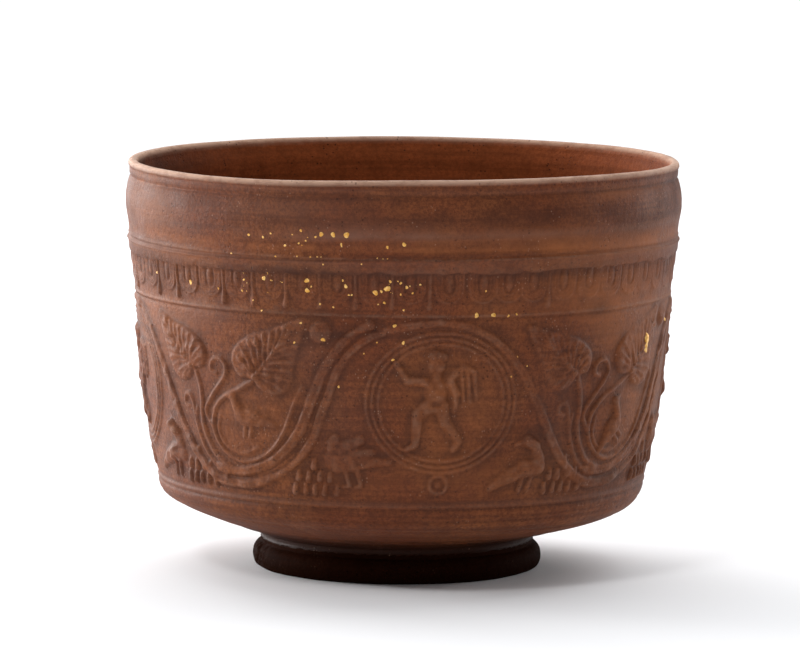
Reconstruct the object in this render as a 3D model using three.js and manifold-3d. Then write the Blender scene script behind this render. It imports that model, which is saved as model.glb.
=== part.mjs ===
// Mould-made red-gloss bowl: a thrown rim, a moulded wall with an egg-and-tongue border
// over a vine scroll, and a turned foot ring. One fired-clay solid.
// Millimetres, +Z up. The origin is the centre of the foot's standing plane, and one of
// the scroll's medallions faces -Y.

import * as THREE from 'three';
import { mergeVertices } from 'three/addons/utils/BufferGeometryUtils.js';
import Module from 'manifold-3d';

const wasm = await Module();
wasm.setup();

// Heights of the bands, stacked from the foot up. Together they are the bowl's height.
const footHeight = 12.5;
const undersideHeight = 22;
const scrollHeight = 66.5;
const ovoloBandHeight = 20.5;
const plainBandHeight = 21.7;
const lipHeight = 5.6;

// Outer radii where the bands meet
const footRadius = 52.7;
const lowerLineRadius = 88.8;
const scrollTopRadius = 98;
const ovoloTopRadius = 99.4;
const bandRadius = 99.9;
const lipRadius = 100;

// Walls
const wallThickness = 5.5;
const floorThickness = 8;
const lipThickness = 3.6;
const recessDepth = 8.5;
const footRestWidth = 7.5;

// Small turned forms
const footRounding = 1.6;
const collarStep = 2.9;
const collarHeight = 4;
const wallSwell = 1.8;
const bandSwell = 1.1;
const grooveWidth = 1.8;
const grooveDepth = 0.8;

// The body has one flat side behind each egg of the border.
const ovoloCount = 48;
const curveSteps = 5;

// How far the surface may move where the joins' slivers are closed up
const thinningTolerance = 0.24;
const thinningPasses = 20;
const sliverArea = 0.4;
const smallestArea = 0.01;
const tinyEdge = 0.02;

// Vine scroll. It is drawn on a flat sheet that holds one repeat, with x along the wall
// from the medallion's middle, y up from the lower line, and z out of the wall.
// The sheet is then stretched to the band and wrapped round the bowl.
const scrollRepeats = 4;
const sheetWidth = 149.2;
const sheetHeight = 66.5;
const rootDepth = 1.2;
const ribHeight = 1;
const stemWidth = 2.8;
const tendrilWidth = 2.3;
const leafHeight = 0.7;
const medallionRadius = 24.6;
const medallionMiddle = 36.1;
const medallionSides = 20;
const ringInnerSlope = 4.6;
const ringOuterSlope = 2.6;
const figureHeight = 32.5;
const figureRelief = 1.5;
const dropLength = 3.4;
const dropWidth = 2.5;
const dropSpacing = 4.2;
const dropRowSpacing = 3.7;

// Egg-and-tongue border
const ovoloLift = 5.2;
const ovoloHeight = 11.2;
const ovoloWidth = 9.1;
const ovoloRelief = 0.9;
const tongueLift = 2.6;
const tongueWidth = 1.5;

// Levels worked out from the bands
const lowerLine = footHeight + undersideHeight;
const scrollTop = lowerLine + scrollHeight;
const bandBottom = scrollTop + ovoloBandHeight;
const neckLevel = bandBottom + plainBandHeight;
const rimLevel = neckLevel + lipHeight;
const floorLevel = recessDepth + floorThickness;
const standingRadius = footRadius - footRounding;
const recessRadius = standingRadius - footRestWidth;
const collarRadius = footRadius - collarStep;

// Profile curves, as radius and height

function undersideCurve() {
  const reach = lowerLineRadius - collarRadius;
  return new THREE.CubicBezierCurve(
    new THREE.Vector2(collarRadius, footHeight),
    new THREE.Vector2(collarRadius + 0.77 * reach, footHeight + 0.43 * undersideHeight),
    new THREE.Vector2(lowerLineRadius - 0.015 * reach, footHeight + 0.6 * undersideHeight),
    new THREE.Vector2(lowerLineRadius, lowerLine),
  );
}

const wallCurve = new THREE.QuadraticBezierCurve(
  new THREE.Vector2(lowerLineRadius, lowerLine),
  new THREE.Vector2((lowerLineRadius + scrollTopRadius) / 2 + wallSwell, lowerLine + 0.35 * scrollHeight),
  new THREE.Vector2(scrollTopRadius, scrollTop),
);

// Radius of the wall without its grooves. The wall curve always rises, so its parameter
// is found by halving.
function wallRadius(height) {
  if (height > scrollTop) {
    const share = (height - scrollTop) / ovoloBandHeight;
    return scrollTopRadius + share * (ovoloTopRadius - scrollTopRadius);
  }
  let low = 0;
  let high = 1;
  for (let i = 0; i < 24; i += 1) {
    const middle = (low + high) / 2;
    if (wallCurve.getPoint(middle).y < height) {
      low = middle;
    } else {
      high = middle;
    }
  }
  return wallCurve.getPoint(low).x;
}

function innerCurve() {
  const endLevel = lowerLine + 0.26 * scrollHeight;
  const endRadius = wallRadius(endLevel) - wallThickness;
  return new THREE.CubicBezierCurve(
    new THREE.Vector2(0, floorLevel),
    new THREE.Vector2(0.62 * endRadius, floorLevel),
    new THREE.Vector2(0.985 * endRadius, floorLevel + 0.22 * (endLevel - floorLevel)),
    new THREE.Vector2(endRadius, endLevel),
  );
}

// A turned line: three points of the profile that dip into a wall of the given radius
function groove(radius, height) {
  return [
    new THREE.Vector2(radius, height - grooveWidth / 2),
    new THREE.Vector2(radius - grooveDepth, height),
    new THREE.Vector2(radius, height + grooveWidth / 2),
  ];
}

function footPoints() {
  const beadTop = footHeight - collarHeight;
  return [
    new THREE.Vector2(0, recessDepth),
    new THREE.Vector2(recessRadius - 0.25 * recessDepth, recessDepth),
    new THREE.Vector2(recessRadius, 0),
    new THREE.Vector2(standingRadius, 0),
    new THREE.Vector2(footRadius, footRounding),
    new THREE.Vector2(footRadius, beadTop - footRounding),
    new THREE.Vector2(collarRadius + grooveDepth, beadTop),
    new THREE.Vector2(collarRadius - grooveDepth, beadTop + collarHeight / 2),
  ];
}

function outerWallPoints() {
  const points = undersideCurve().getPoints(curveSteps).slice(0, -1);
  points.push(...groove(lowerLineRadius, lowerLine));
  const upright = wallCurve.getPoints(3).slice(1, -1);
  points.push(...upright);
  points.push(...groove(scrollTopRadius, scrollTop));
  points.push(...groove(ovoloTopRadius, bandBottom));
  return points;
}

function rimPoints() {
  const swellLevel = bandBottom + 0.45 * plainBandHeight;
  const innerLip = lipRadius - lipThickness;
  return [
    new THREE.Vector2(bandRadius, bandBottom + grooveWidth),
    new THREE.Vector2(bandRadius + bandSwell, swellLevel),
    ...groove(bandRadius, neckLevel),
    new THREE.Vector2(lipRadius, neckLevel + 0.6 * lipHeight),
    new THREE.Vector2(lipRadius - 0.45 * lipThickness, rimLevel),
    new THREE.Vector2(innerLip, rimLevel - 0.2 * lipHeight),
  ];
}

function innerWallPoints() {
  const bellyLevel = lowerLine + 0.65 * scrollHeight;
  const points = [
    new THREE.Vector2(bandRadius - wallThickness, neckLevel),
    new THREE.Vector2(ovoloTopRadius - wallThickness, bandBottom),
    new THREE.Vector2(wallRadius(bellyLevel) - wallThickness, bellyLevel),
  ];
  points.push(...innerCurve().getPoints(curveSteps).reverse());
  return points;
}

// Solids

// Turns a closed geometry into a solid. Triangles that a weld has squeezed flat are left out.
function toSolid(geometry) {
  geometry.deleteAttribute('normal');
  geometry.deleteAttribute('uv');
  const welded = mergeVertices(geometry, 1e-4);
  const corners = welded.index.array;
  const kept = [];
  for (let i = 0; i < corners.length; i += 3) {
    const [a, b, c] = corners.slice(i, i + 3);
    if (a !== b && b !== c && c !== a) {
      kept.push(a, b, c);
    }
  }
  const mesh = new wasm.Mesh({
    numProp: 3,
    vertProperties: new Float32Array(welded.attributes.position.array),
    triVerts: new Uint32Array(kept),
  });
  return new wasm.Manifold(mesh);
}

// Closes up short edges of the moulded wall, where the joins leave many slivers. A corner
// moves onto its neighbour if that lies near all the planes that met in the corner, and if
// no triangle around it turns over. Corners off the moulded wall stay.
function thinned(corners, faces) {
  let triangles = faces;
  const planes = corners.map(() => []);
  for (const triangle of triangles) {
    const face = new THREE.Triangle(...triangle.map((i) => corners[i]));
    if (face.getArea() > sliverArea) {
      const plane = face.getPlane(new THREE.Plane());
      triangle.forEach((i) => planes[i].push(plane));
    }
  }
  const onWall = corners.map(({ x, y, z }) => (
    z > lowerLine + grooveWidth && z < bandBottom - grooveWidth
      && Math.hypot(x, y) > wallRadius(z) - wallThickness / 2
  ));
  for (let pass = 0; pass < thinningPasses; pass += 1) {
    const around = corners.map(() => []);
    triangles.forEach((triangle) => triangle.forEach((i) => around[i].push(triangle)));
    const moves = possibleMoves(triangles, corners, planes, onWall);
    const settled = new Set();
    let moved = 0;
    for (const { from, to, tiny } of moves) {
      const ring = new Set(around[from].flat());
      const blocked = settled.has(from) || settled.has(to) || !canClose(from, to, tiny, corners, around);
      if (!blocked) {
        around[from].forEach((triangle) => triangle.splice(triangle.indexOf(from), 1, to));
        planes[to].push(...planes[from]);
        ring.forEach((i) => settled.add(i));
        moved += 1;
      }
    }
    triangles = triangles.filter(([a, b, c]) => a !== b && b !== c && c !== a);
    if (moved === 0) {
      break;
    }
  }
  return triangles;
}

function possibleMoves(triangles, corners, planes, onWall) {
  const moves = [];
  for (const triangle of triangles) {
    for (let i = 0; i < 3; i += 1) {
      const from = triangle[i];
      const to = triangle[(i + 1) % 3];
      const tiny = corners[from].distanceTo(corners[to]) < tinyEdge;
      if (tiny) {
        moves.push({ from, to, tiny, gap: -1 });
      } else if (onWall[from] && onWall[to]) {
        const gaps = planes[from].map((plane) => Math.abs(plane.distanceToPoint(corners[to])));
        const gap = Math.max(0, ...gaps);
        if (gap < thinningTolerance) {
          moves.push({ from, to, tiny, gap });
        }
      }
    }
  }
  return moves.sort((a, b) => a.gap - b.gap);
}

function canClose(from, to, tiny, corners, around) {
  const ring = new Set(around[from].flat());
  const otherRing = new Set(around[to].flat());
  const shared = [...ring].filter((i) => otherRing.has(i) && i !== from && i !== to);
  if (shared.length !== 2) {
    return false;
  }
  return around[from].every((triangle) => {
    if (tiny || triangle.includes(to)) {
      return true;
    }
    const before = new THREE.Triangle(...triangle.map((i) => corners[i]));
    const after = new THREE.Triangle(...triangle.map((i) => corners[i === from ? to : i]));
    const turned = before.getNormal(new THREE.Vector3()).dot(after.getNormal(new THREE.Vector3()));
    return turned > 0.3 && after.getArea() > smallestArea;
  });
}

function toGeometry(solid) {
  const mesh = solid.getMesh();
  const corners = [];
  for (let i = 0; i < mesh.vertProperties.length; i += 3) {
    corners.push(new THREE.Vector3().fromArray(mesh.vertProperties, i));
  }
  const faces = [];
  for (let i = 0; i < mesh.triVerts.length; i += 3) {
    faces.push(Array.from(mesh.triVerts.slice(i, i + 3)));
  }
  const geometry = new THREE.BufferGeometry().setFromPoints(corners);
  geometry.setIndex(thinned(corners, faces).flat());
  geometry.computeVertexNormals();
  return geometry;
}

function turnedBody() {
  const profile = [...footPoints(), ...outerWallPoints(), ...rimPoints(), ...innerWallPoints()];
  const body = new THREE.LatheGeometry(profile, ovoloCount, Math.PI / ovoloCount);
  body.rotateX(Math.PI / 2);
  return toSolid(body);
}

// Bends a flat motif onto the wall: x becomes a turn, y a height and z a distance outwards.
function wrapped(geometry, turn, turnPerStep, baseLevel, stretch) {
  const bent = geometry.clone();
  const position = bent.attributes.position;
  for (let i = 0; i < position.count; i += 1) {
    const height = baseLevel + position.getY(i) * stretch;
    const radius = wallRadius(height) + position.getZ(i);
    const angle = turn + position.getX(i) * turnPerStep;
    position.setXYZ(i, radius * Math.sin(angle), -radius * Math.cos(angle), height);
  }
  return toSolid(bent);
}

// Flat motifs

// A rib with a three-sided section along a smooth line
function rib(points, width, height, step) {
  const path = new THREE.CatmullRomCurve3(points.map(([x, y]) => new THREE.Vector3(x, y, 0)));
  const root = 0.5 * width * (height + rootDepth) / height;
  const section = new THREE.Shape([
    new THREE.Vector2(rootDepth, -root),
    new THREE.Vector2(rootDepth, root),
    new THREE.Vector2(-height, 0),
  ]);
  const steps = Math.max(2, Math.round(path.getLength() / step));
  return new THREE.ExtrudeGeometry(section, { steps, extrudePath: path });
}

// A flat-topped plate with sloping sides
function plate(shape, height, slope, curveSegments) {
  const geometry = new THREE.ExtrudeGeometry(shape, {
    depth: rootDepth,
    bevelThickness: height,
    bevelSize: slope,
    bevelOffset: -slope,
    bevelSegments: 1,
    curveSegments,
  });
  return geometry.translate(0, 0, -rootDepth);
}

// A rounded mound with half-lengths along and across
function mound(x, y, along, across, height, tilt, sides = 6) {
  const geometry = new THREE.SphereGeometry(1, sides, 3);
  geometry.rotateX(Math.PI / 2);
  geometry.scale(along, across, height);
  geometry.rotateZ(tilt);
  return geometry.translate(x, y, 0);
}

// A small pointed boss with four slopes
function boss(x, y, along, across, height, tilt) {
  const geometry = new THREE.OctahedronGeometry(1);
  geometry.scale(along, across, height);
  geometry.rotateZ(tilt);
  return geometry.translate(x, y, 0);
}

// A tapering bar from one point to another, with a ridge along its top
function limb([x1, y1], [x2, y2], startRadius, endRadius, relief) {
  const length = Math.hypot(x2 - x1, y2 - y1);
  const geometry = new THREE.CylinderGeometry(endRadius, startRadius, length, 4);
  geometry.scale(1, 1, relief / Math.max(startRadius, endRadius));
  geometry.rotateZ(Math.atan2(y2 - y1, x2 - x1) - Math.PI / 2);
  return geometry.translate((x1 + x2) / 2, (y1 + y2) / 2, 0);
}

// Heart-shaped leaf from its base to its tip, with a raised midrib
function leaf([baseX, baseY], [tipX, tipY], width) {
  const length = Math.hypot(tipX - baseX, tipY - baseY);
  const shape = new THREE.Shape();
  shape.moveTo(0, 0);
  shape.bezierCurveTo(-0.2 * length, 0.2 * width, -0.05 * length, 0.6 * width, 0.3 * length, 0.48 * width);
  shape.quadraticCurveTo(0.62 * length, 0.4 * width, length, 0);
  shape.quadraticCurveTo(0.62 * length, -0.4 * width, 0.3 * length, -0.48 * width);
  shape.bezierCurveTo(-0.05 * length, -0.6 * width, -0.2 * length, -0.2 * width, 0, 0);
  const blade = plate(shape, leafHeight, 1, 2);
  const midrib = limb([0, 0], [0.9 * length, 0], 1.1, 0.3, leafHeight + 0.7);
  const parts = [blade, midrib];
  for (const part of parts) {
    part.rotateZ(Math.atan2(tipY - baseY, tipX - baseX));
    part.translate(baseX, baseY, 0);
  }
  return parts;
}

// The wavy main stem over one repeat, from the crest above one medallion to the next
const stemLine = [
  [0, 66.1], [11, 64.1], [21.5, 57.5], [29.5, 48.5], [37.5, 35], [43.5, 23.5], [51.5, 13],
  [62, 5.7], [72, 4.1], [83, 9.3], [94, 18.3], [102, 29.5], [108.5, 44], [115.5, 55.5],
  [125, 63.3], [137, 65.9], [149.2, 66.1],
];

// Lines of the trough between two medallions, from the trough's middle
const branchLine = [
  [51, 61.5], [42.6, 56.1], [33.6, 42.3], [23.7, 25.8], [8.5, 12.5], [-5, 8.3], [-15, 9.5],
];
const leafStemLine = [[-21.6, 44], [-19.2, 35], [-19.2, 25], [-15.5, 15], [-5, 10]];
const coilLine = [
  [6.5, 41.4], [-7.8, 34.8], [-14.2, 22], [-8.5, 15], [0.3, 13.6], [9.3, 17.6], [14.2, 27],
  [10.3, 34.9], [4, 36.3],
];
const tendrilLine = [
  [-11.4, 43.2], [-12.1, 47.3], [-8, 48.2], [-5.8, 44], [-8.2, 39.5], [-14.5, 33], [-17.4, 25],
];
const hookLine = [[-28.3, 29.5], [-28.9, 32.6], [-25.6, 33.6], [-23.4, 27], [-21, 18]];

// Child walking to the left with one arm held out and a wing behind. The figure is drawn
// as shares of its height, from the ground under it.
function childFigure() {
  const size = figureHeight;
  const at = (x, y) => [x * size, y * size];
  const neck = at(-0.02, 0.84);
  const shoulder = at(-0.05, 0.78);
  const elbow = at(-0.31, 0.79);
  const hand = at(-0.46, 0.92);
  const backShoulder = at(0.06, 0.78);
  const backElbow = at(0.15, 0.62);
  const hip = at(-0.02, 0.52);
  const frontKnee = at(-0.18, 0.28);
  const frontFoot = at(-0.2, 0.01);
  const backKnee = at(0.11, 0.28);
  const backFoot = at(0.26, 0.02);
  return [
    mound(neck[0], neck[1] + 0.12 * size, 0.085 * size, 0.095 * size, figureRelief, 0),
    mound(...at(-0.02, 0.66), 0.18 * size, 0.095 * size, 1.15 * figureRelief, Math.PI / 2),
    mound(...hip, 0.1 * size, 0.1 * size, figureRelief, 0),
    limb(shoulder, elbow, 0.045 * size, 0.035 * size, figureRelief),
    limb(elbow, hand, 0.035 * size, 0.025 * size, figureRelief),
    limb(backShoulder, backElbow, 0.045 * size, 0.03 * size, 0.8 * figureRelief),
    limb(hip, frontKnee, 0.075 * size, 0.05 * size, figureRelief),
    limb(frontKnee, frontFoot, 0.05 * size, 0.035 * size, figureRelief),
    limb(hip, backKnee, 0.075 * size, 0.05 * size, figureRelief),
    limb(backKnee, backFoot, 0.05 * size, 0.035 * size, figureRelief),
    limb(at(0.07, 0.72), at(0.4, 0.88), 0.035 * size, 0.09 * size, 0.8 * figureRelief),
  ];
}

// A standing bird: body, neck and head, tail, wing and legs. Facing is 1 to the right
// and -1 to the left, and wingLift says how far the wing stands up.
function bird(x, y, length, facing, lean, wingLift) {
  const at = (along, up) => [x + facing * along * length, y + up * length];
  return [
    mound(x, y, 0.3 * length, 0.17 * length, figureRelief, facing * lean),
    limb(at(0.2, 0.06), at(0.34, 0.5), 0.11 * length, 0.08 * length, figureRelief),
    limb(at(-0.2, -0.02), at(-0.62, -0.12), 0.1 * length, 0.05 * length, 0.8 * figureRelief),
    limb(at(-0.02, 0.05), at(-0.12, 0.1 + wingLift), 0.13 * length, 0.04 * length, 1.2 * figureRelief),
    limb(at(0.02, -0.1), at(0.04, -0.5), 0.05 * length, 0.06 * length, 0.6 * figureRelief),
  ];
}

// A bunch of drops hanging in rows, widening downwards
function dropBunch(x, y) {
  const drops = [];
  const rowCounts = [1, 2, 2];
  rowCounts.forEach((count, row) => {
    for (let i = 0; i < count; i += 1) {
      const side = (i - (count - 1) / 2) * dropSpacing;
      const level = y - row * dropRowSpacing;
      drops.push(boss(x + side, level, dropLength / 2, dropWidth / 2, ribHeight, Math.PI / 2));
    }
  });
  return drops;
}

function medallion() {
  const section = [
    new THREE.Vector2(medallionRadius - ringInnerSlope, -rootDepth),
    new THREE.Vector2(medallionRadius + ringOuterSlope, -rootDepth),
    new THREE.Vector2(medallionRadius, ribHeight),
    new THREE.Vector2(medallionRadius - ringInnerSlope, -rootDepth),
  ];
  const ring = new THREE.LatheGeometry(section, medallionSides);
  ring.rotateX(Math.PI / 2);
  return ring.translate(0, medallionMiddle, 0);
}

function scrollMotifs() {
  const trough = sheetWidth / 2;
  const moved = (points) => points.map(([x, y]) => [x + trough, y]);
  const ground = medallionMiddle - 0.5 * figureHeight + 1;
  const child = childFigure().map((part) => part.translate(0, ground, 0));
  return [
    rib(stemLine, stemWidth, ribHeight, 7.5),
    rib(moved(branchLine), stemWidth, ribHeight, 7.5),
    rib(moved(leafStemLine), tendrilWidth, ribHeight, 7),
    rib(moved(coilLine), tendrilWidth, ribHeight, 6),
    rib(moved(tendrilLine), tendrilWidth, 0.9 * ribHeight, 4.5),
    rib(moved(hookLine), tendrilWidth, 0.9 * ribHeight, 5),
    ...leaf(...moved([[-21.6, 44], [-42.5, 61.5]]), 18),
    ...leaf(...moved([[6.5, 40], [26.6, 61.5]]), 22),
    medallion(),
    ...child,
    mound(0.8, 7, 3.3, 3.3, ribHeight, 0),
    mound(35.5 - trough, 60, 3.2, 3.2, ribHeight, 0),
    ...bird(-27.5, 17.5, 16, -1, -0.35, 0.15),
    ...bird(33, 12.5, 14, 1, 0.6, 0),
    ...bird(trough, 26.5, 13, -1, 0, 0),
    ...dropBunch(-46, 11),
    ...dropBunch(52, 11),
  ];
}

function ovoloMotifs() {
  const half = ovoloWidth / 2;
  const top = ovoloLift + ovoloHeight;
  const shape = new THREE.Shape([
    new THREE.Vector2(-half, top),
    new THREE.Vector2(-half, ovoloLift + 0.9 * half),
    new THREE.Vector2(-0.45 * half, ovoloLift),
    new THREE.Vector2(0.45 * half, ovoloLift),
    new THREE.Vector2(half, ovoloLift + 0.9 * half),
    new THREE.Vector2(half, top),
  ]);
  const tongueSide = Math.PI * wallRadius(scrollTop + top) / ovoloCount;
  const eggMiddle = ovoloLift + 0.55 * ovoloHeight;
  const eggRelief = 1.7 * ovoloRelief;
  return [
    plate(shape, ovoloRelief, 0.7, 1),
    boss(0, eggMiddle, 0.42 * ovoloHeight, 0.28 * ovoloWidth, eggRelief, Math.PI / 2),
    boss(tongueSide, (top + tongueLift) / 2, (top - tongueLift) / 2, tongueWidth, ovoloRelief, Math.PI / 2),
  ];
}

// The whole bowl

function bowlSolid() {
  let solid = turnedBody();
  const sheetTurn = (2 * Math.PI) / (scrollRepeats * sheetWidth);
  const sheetStretch = scrollHeight / sheetHeight;
  const vine = scrollMotifs();
  for (let i = 0; i < scrollRepeats; i += 1) {
    const turn = (i * 2 * Math.PI) / scrollRepeats;
    for (const motif of vine) {
      solid = solid.add(wrapped(motif, turn, sheetTurn, lowerLine, sheetStretch));
    }
  }
  const ovolos = ovoloMotifs();
  for (let i = 0; i < ovoloCount; i += 1) {
    const turn = (i * 2 * Math.PI) / ovoloCount;
    for (const motif of ovolos) {
      solid = solid.add(wrapped(motif, turn, 1 / wallRadius(scrollTop + ovoloHeight), scrollTop, 1));
    }
  }
  return solid;
}

const glossyClay = new THREE.MeshStandardMaterial({ color: 0x6b4236, roughness: 0.6, metalness: 0 });

const bowl = new THREE.Mesh(toGeometry(bowlSolid()), glossyClay);
bowl.name = 'bowl';

const group = new THREE.Group();
group.add(bowl);

export default group;
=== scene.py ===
import math

import bpy
import numpy as np
from bpy.props import FloatProperty, FloatVectorProperty, IntProperty, PointerProperty
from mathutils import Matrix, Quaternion, Vector
from mathutils.bvhtree import BVHTree


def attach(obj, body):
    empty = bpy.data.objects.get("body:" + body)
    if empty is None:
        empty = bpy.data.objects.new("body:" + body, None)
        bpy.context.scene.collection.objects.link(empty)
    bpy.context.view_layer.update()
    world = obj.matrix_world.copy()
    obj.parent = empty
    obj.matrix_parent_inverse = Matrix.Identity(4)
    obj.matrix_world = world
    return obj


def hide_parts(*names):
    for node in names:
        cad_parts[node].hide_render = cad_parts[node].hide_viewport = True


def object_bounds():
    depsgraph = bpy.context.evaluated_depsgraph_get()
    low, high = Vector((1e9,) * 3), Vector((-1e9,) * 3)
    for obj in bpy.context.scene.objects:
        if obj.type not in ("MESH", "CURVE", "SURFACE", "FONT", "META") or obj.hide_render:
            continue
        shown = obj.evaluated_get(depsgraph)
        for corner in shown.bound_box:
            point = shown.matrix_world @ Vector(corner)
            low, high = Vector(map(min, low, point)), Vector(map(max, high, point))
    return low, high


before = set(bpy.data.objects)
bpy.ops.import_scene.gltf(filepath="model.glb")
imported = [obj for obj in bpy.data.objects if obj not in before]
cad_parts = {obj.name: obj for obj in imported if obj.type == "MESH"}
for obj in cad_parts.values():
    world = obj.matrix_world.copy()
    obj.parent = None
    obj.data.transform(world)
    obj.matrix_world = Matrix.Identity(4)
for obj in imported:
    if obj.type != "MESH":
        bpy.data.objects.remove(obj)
CAD_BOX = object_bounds()

bl_info = {
    "name": "Moulded Clay Bowl",
    "version": (1, 0, 0),
    "blender": (4, 5, 0),
    "location": "View3D > Sidebar > Clay Bowl",
    "description": "A turned clay bowl with a moulded vine scroll, worn slip and gold drops",
    "category": "Add Mesh",
}

# The relief is drawn in millimetres and becomes metres where a mesh is made.
MM = 0.001

# Heights of the bands above the standing plane
FOOT_TOP = 12.5
LOWER_LINE = 34.5
SCROLL_TOP = 101.0
OVOLO_TOP = 116.2
BAND_BOTTOM = 121.8
NECK = 143.2
RIM = CAD_BOX[1].z / MM

# Outer radii where the bands meet
FOOT_RADIUS = 52.7
COLLAR_RADIUS = 49.8
LOWER_LINE_RADIUS = 88.8
SCROLL_TOP_RADIUS = 97.3
OVOLO_TOP_RADIUS = 99.4

# Underside, floor and wall
RECESS_DEPTH = 8.5
RECESS_RADIUS = 43.6
FLOOR_LEVEL = 16.5
WALL = 5.5
WALL_SWELL = 1.4
INNER_NECK_RADIUS = 94.4

# The frame's bowl has flat sides. Round rings stay inside it when they reach only to its flats.
SIDES = 48
ROUND_FIT = math.cos(math.pi / SIDES)

# The moulded wall is drawn on a flat sheet: x runs along the wall and y is the height.
REPEAT = 149.2
REPEATS = 4
AROUND = REPEAT * REPEATS
STEP = 0.4
FINE_COLUMNS = round(AROUND / STEP)
COARSE_SHARE = 4
MOST_FACES = 196000


def turn_at(x):
    """Angle round the bowl of a place on the sheet, from the front towards the right."""
    return x * 2 * math.pi / AROUND


# Lines and soft random fields

def smooth_line(points, step=0.8, closed=False):
    """Smooth line through the points, sampled about every step."""
    p = np.array(points, float)
    if closed:
        p = np.vstack([p[-1], p, p[0], p[1]])
    else:
        p = np.vstack([2 * p[0] - p[1], p, 2 * p[-1] - p[-2]])
    pieces = []
    for i in range(1, len(p) - 2):
        before, start, end, after = p[i - 1:i + 3]
        count = max(2, int(np.hypot(*(end - start)) / step))
        t = np.linspace(0, 1, count, endpoint=False)[:, None]
        slope = end - before
        bend = 2 * before - 5 * start + 4 * end - after
        twist = 3 * start - before - 3 * end + after
        pieces.append(0.5 * (2 * start + slope * t + bend * t ** 2 + twist * t ** 3))
    pieces.append(p[-2][None, :])
    return np.vstack(pieces)


def drawn_curve(points, count):
    """Points along a curve from the first point to the last, drawn towards those between."""
    t = np.linspace(0, 1, count)[:, None]
    layer = [np.array(p, float)[None, :] for p in points]
    while len(layer) > 1:
        layer = [a * (1 - t) + b * t for a, b in zip(layer, layer[1:])]
    return layer[0] * np.ones_like(t)


def eased(share):
    """A share from 0 to 1 that starts and ends gently."""
    return share * share * (3 - 2 * share)


def sampled(values, u, v, ease=False):
    """Values between the points of a grid that closes on itself across."""
    iu, iv = np.floor(u).astype(int), np.floor(v).astype(int)
    fu, fv = u - iu, v - iv
    if ease:
        fu, fv = eased(fu), eased(fv)
    across = values.shape[1]
    iu, next_u = iu % across, (iu + 1) % across
    low = values[iv, iu] * (1 - fu) + values[iv, next_u] * fu
    high = values[iv + 1, iu] * (1 - fu) + values[iv + 1, next_u] * fu
    return low * (1 - fv) + high * fv


# Height that the random fields cover, with room for the stretched ones
NOISE_REACH = 260


def soft_noise(x, y, size, seed, stretch=1.0):
    """Smooth random field from -1 to 1 that closes on itself round the bowl."""
    across = max(3, round(AROUND / (size * stretch)))
    rows = int(NOISE_REACH / size) + 4
    values = np.random.default_rng(seed).uniform(-1, 1, (rows, across))
    u = np.asarray(x) / AROUND * across
    v = np.clip(np.asarray(y) / size + 1, 0, rows - 2.001)
    return sampled(values, u, v, ease=True)


def patch(x, y, spot):
    """Soft spot on the sheet, given as its middle, half width and half height."""
    middle_x, middle_y, wide, high = spot
    along = (x - middle_x + AROUND / 2) % AROUND - AROUND / 2
    return np.exp(-(along / wide) ** 2 - ((y - middle_y) / high) ** 2)


# Relief sheet

class Sheet:
    """Heights in millimetres over two repeats of the scroll."""

    def __init__(self, low, high):
        self.span = 2 * REPEAT
        self.x = (np.arange(round(self.span / STEP)) + 0.5) * STEP - self.span / 2
        self.y = np.linspace(low, high, round((high - low) / STEP) + 1)
        self.h = np.zeros((len(self.y), len(self.x)))

    def window(self, x0, y0, x1, y1):
        """A part of the sheet, and the places of its points."""
        i0, i1 = np.searchsorted(self.x, [x0, x1])
        j0, j1 = np.searchsorted(self.y, [y0, y1])
        xs, ys = np.meshgrid(self.x[i0:i1], self.y[j0:j1])
        return (slice(j0, j1), slice(i0, i1)), xs, ys

    def put(self, part, height, add=False):
        """Raises a part of the sheet to a height, or adds the height to it."""
        if add:
            self.h[part] += height
        else:
            self.h[part] = np.maximum(self.h[part], height)

    def rib(self, points, width, height, end_width=None, closed=False, add=False, mask=None, power=2):
        """A rounded rib along a smooth line. A higher power flattens its top."""
        line = smooth_line(points, closed=closed)
        end_width = width if end_width is None else end_width
        reach = max(width, end_width) / 2 + 0.1
        part, xs, ys = self.window(*(line.min(0) - reach), *(line.max(0) + reach))
        run = np.r_[0, np.cumsum(np.hypot(*np.diff(line, axis=0).T))]
        nearest = np.full(xs.shape, 1e9)
        share = np.zeros(xs.shape)
        for k in range(len(line) - 1):
            distance, t = distance_to(xs, ys, line[k], line[k + 1])
            closer = distance < nearest
            nearest[closer] = distance[closer]
            share[closer] = (run[k] + t[closer] * (run[k + 1] - run[k])) / run[-1]
        half = (width + (end_width - width) * share) / 2
        rise = height * (1 - np.clip(nearest / half, 0, 1) ** power)
        if mask is not None:
            rise = rise * mask(xs, ys)
        self.put(part, rise, add)

    def limb(self, start, end, start_radius, end_radius, height):
        """A tapering rounded bar."""
        start, end = np.array(start, float), np.array(end, float)
        widest = max(start_radius, end_radius)
        part, xs, ys = self.window(*(np.minimum(start, end) - widest - 0.1),
                                   *(np.maximum(start, end) + widest + 0.1))
        distance, t = distance_to(xs, ys, start, end)
        radius = start_radius + (end_radius - start_radius) * t
        across = np.clip(distance / radius, 0, 1)
        self.put(part, height * np.sqrt(radius / widest) * np.sqrt(1 - across ** 2))

    def blob(self, x, y, wide, high, height, tilt=0.0, power=0.5):
        """A rounded mound."""
        reach = max(wide, high) + 0.1
        part, xs, ys = self.window(x - reach, y - reach, x + reach, y + reach)
        c, s = math.cos(tilt), math.sin(tilt)
        u = ((xs - x) * c + (ys - y) * s) / wide
        v = (-(xs - x) * s + (ys - y) * c) / high
        self.put(part, height * np.clip(1 - u ** 2 - v ** 2, 0, 1) ** power)


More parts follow.
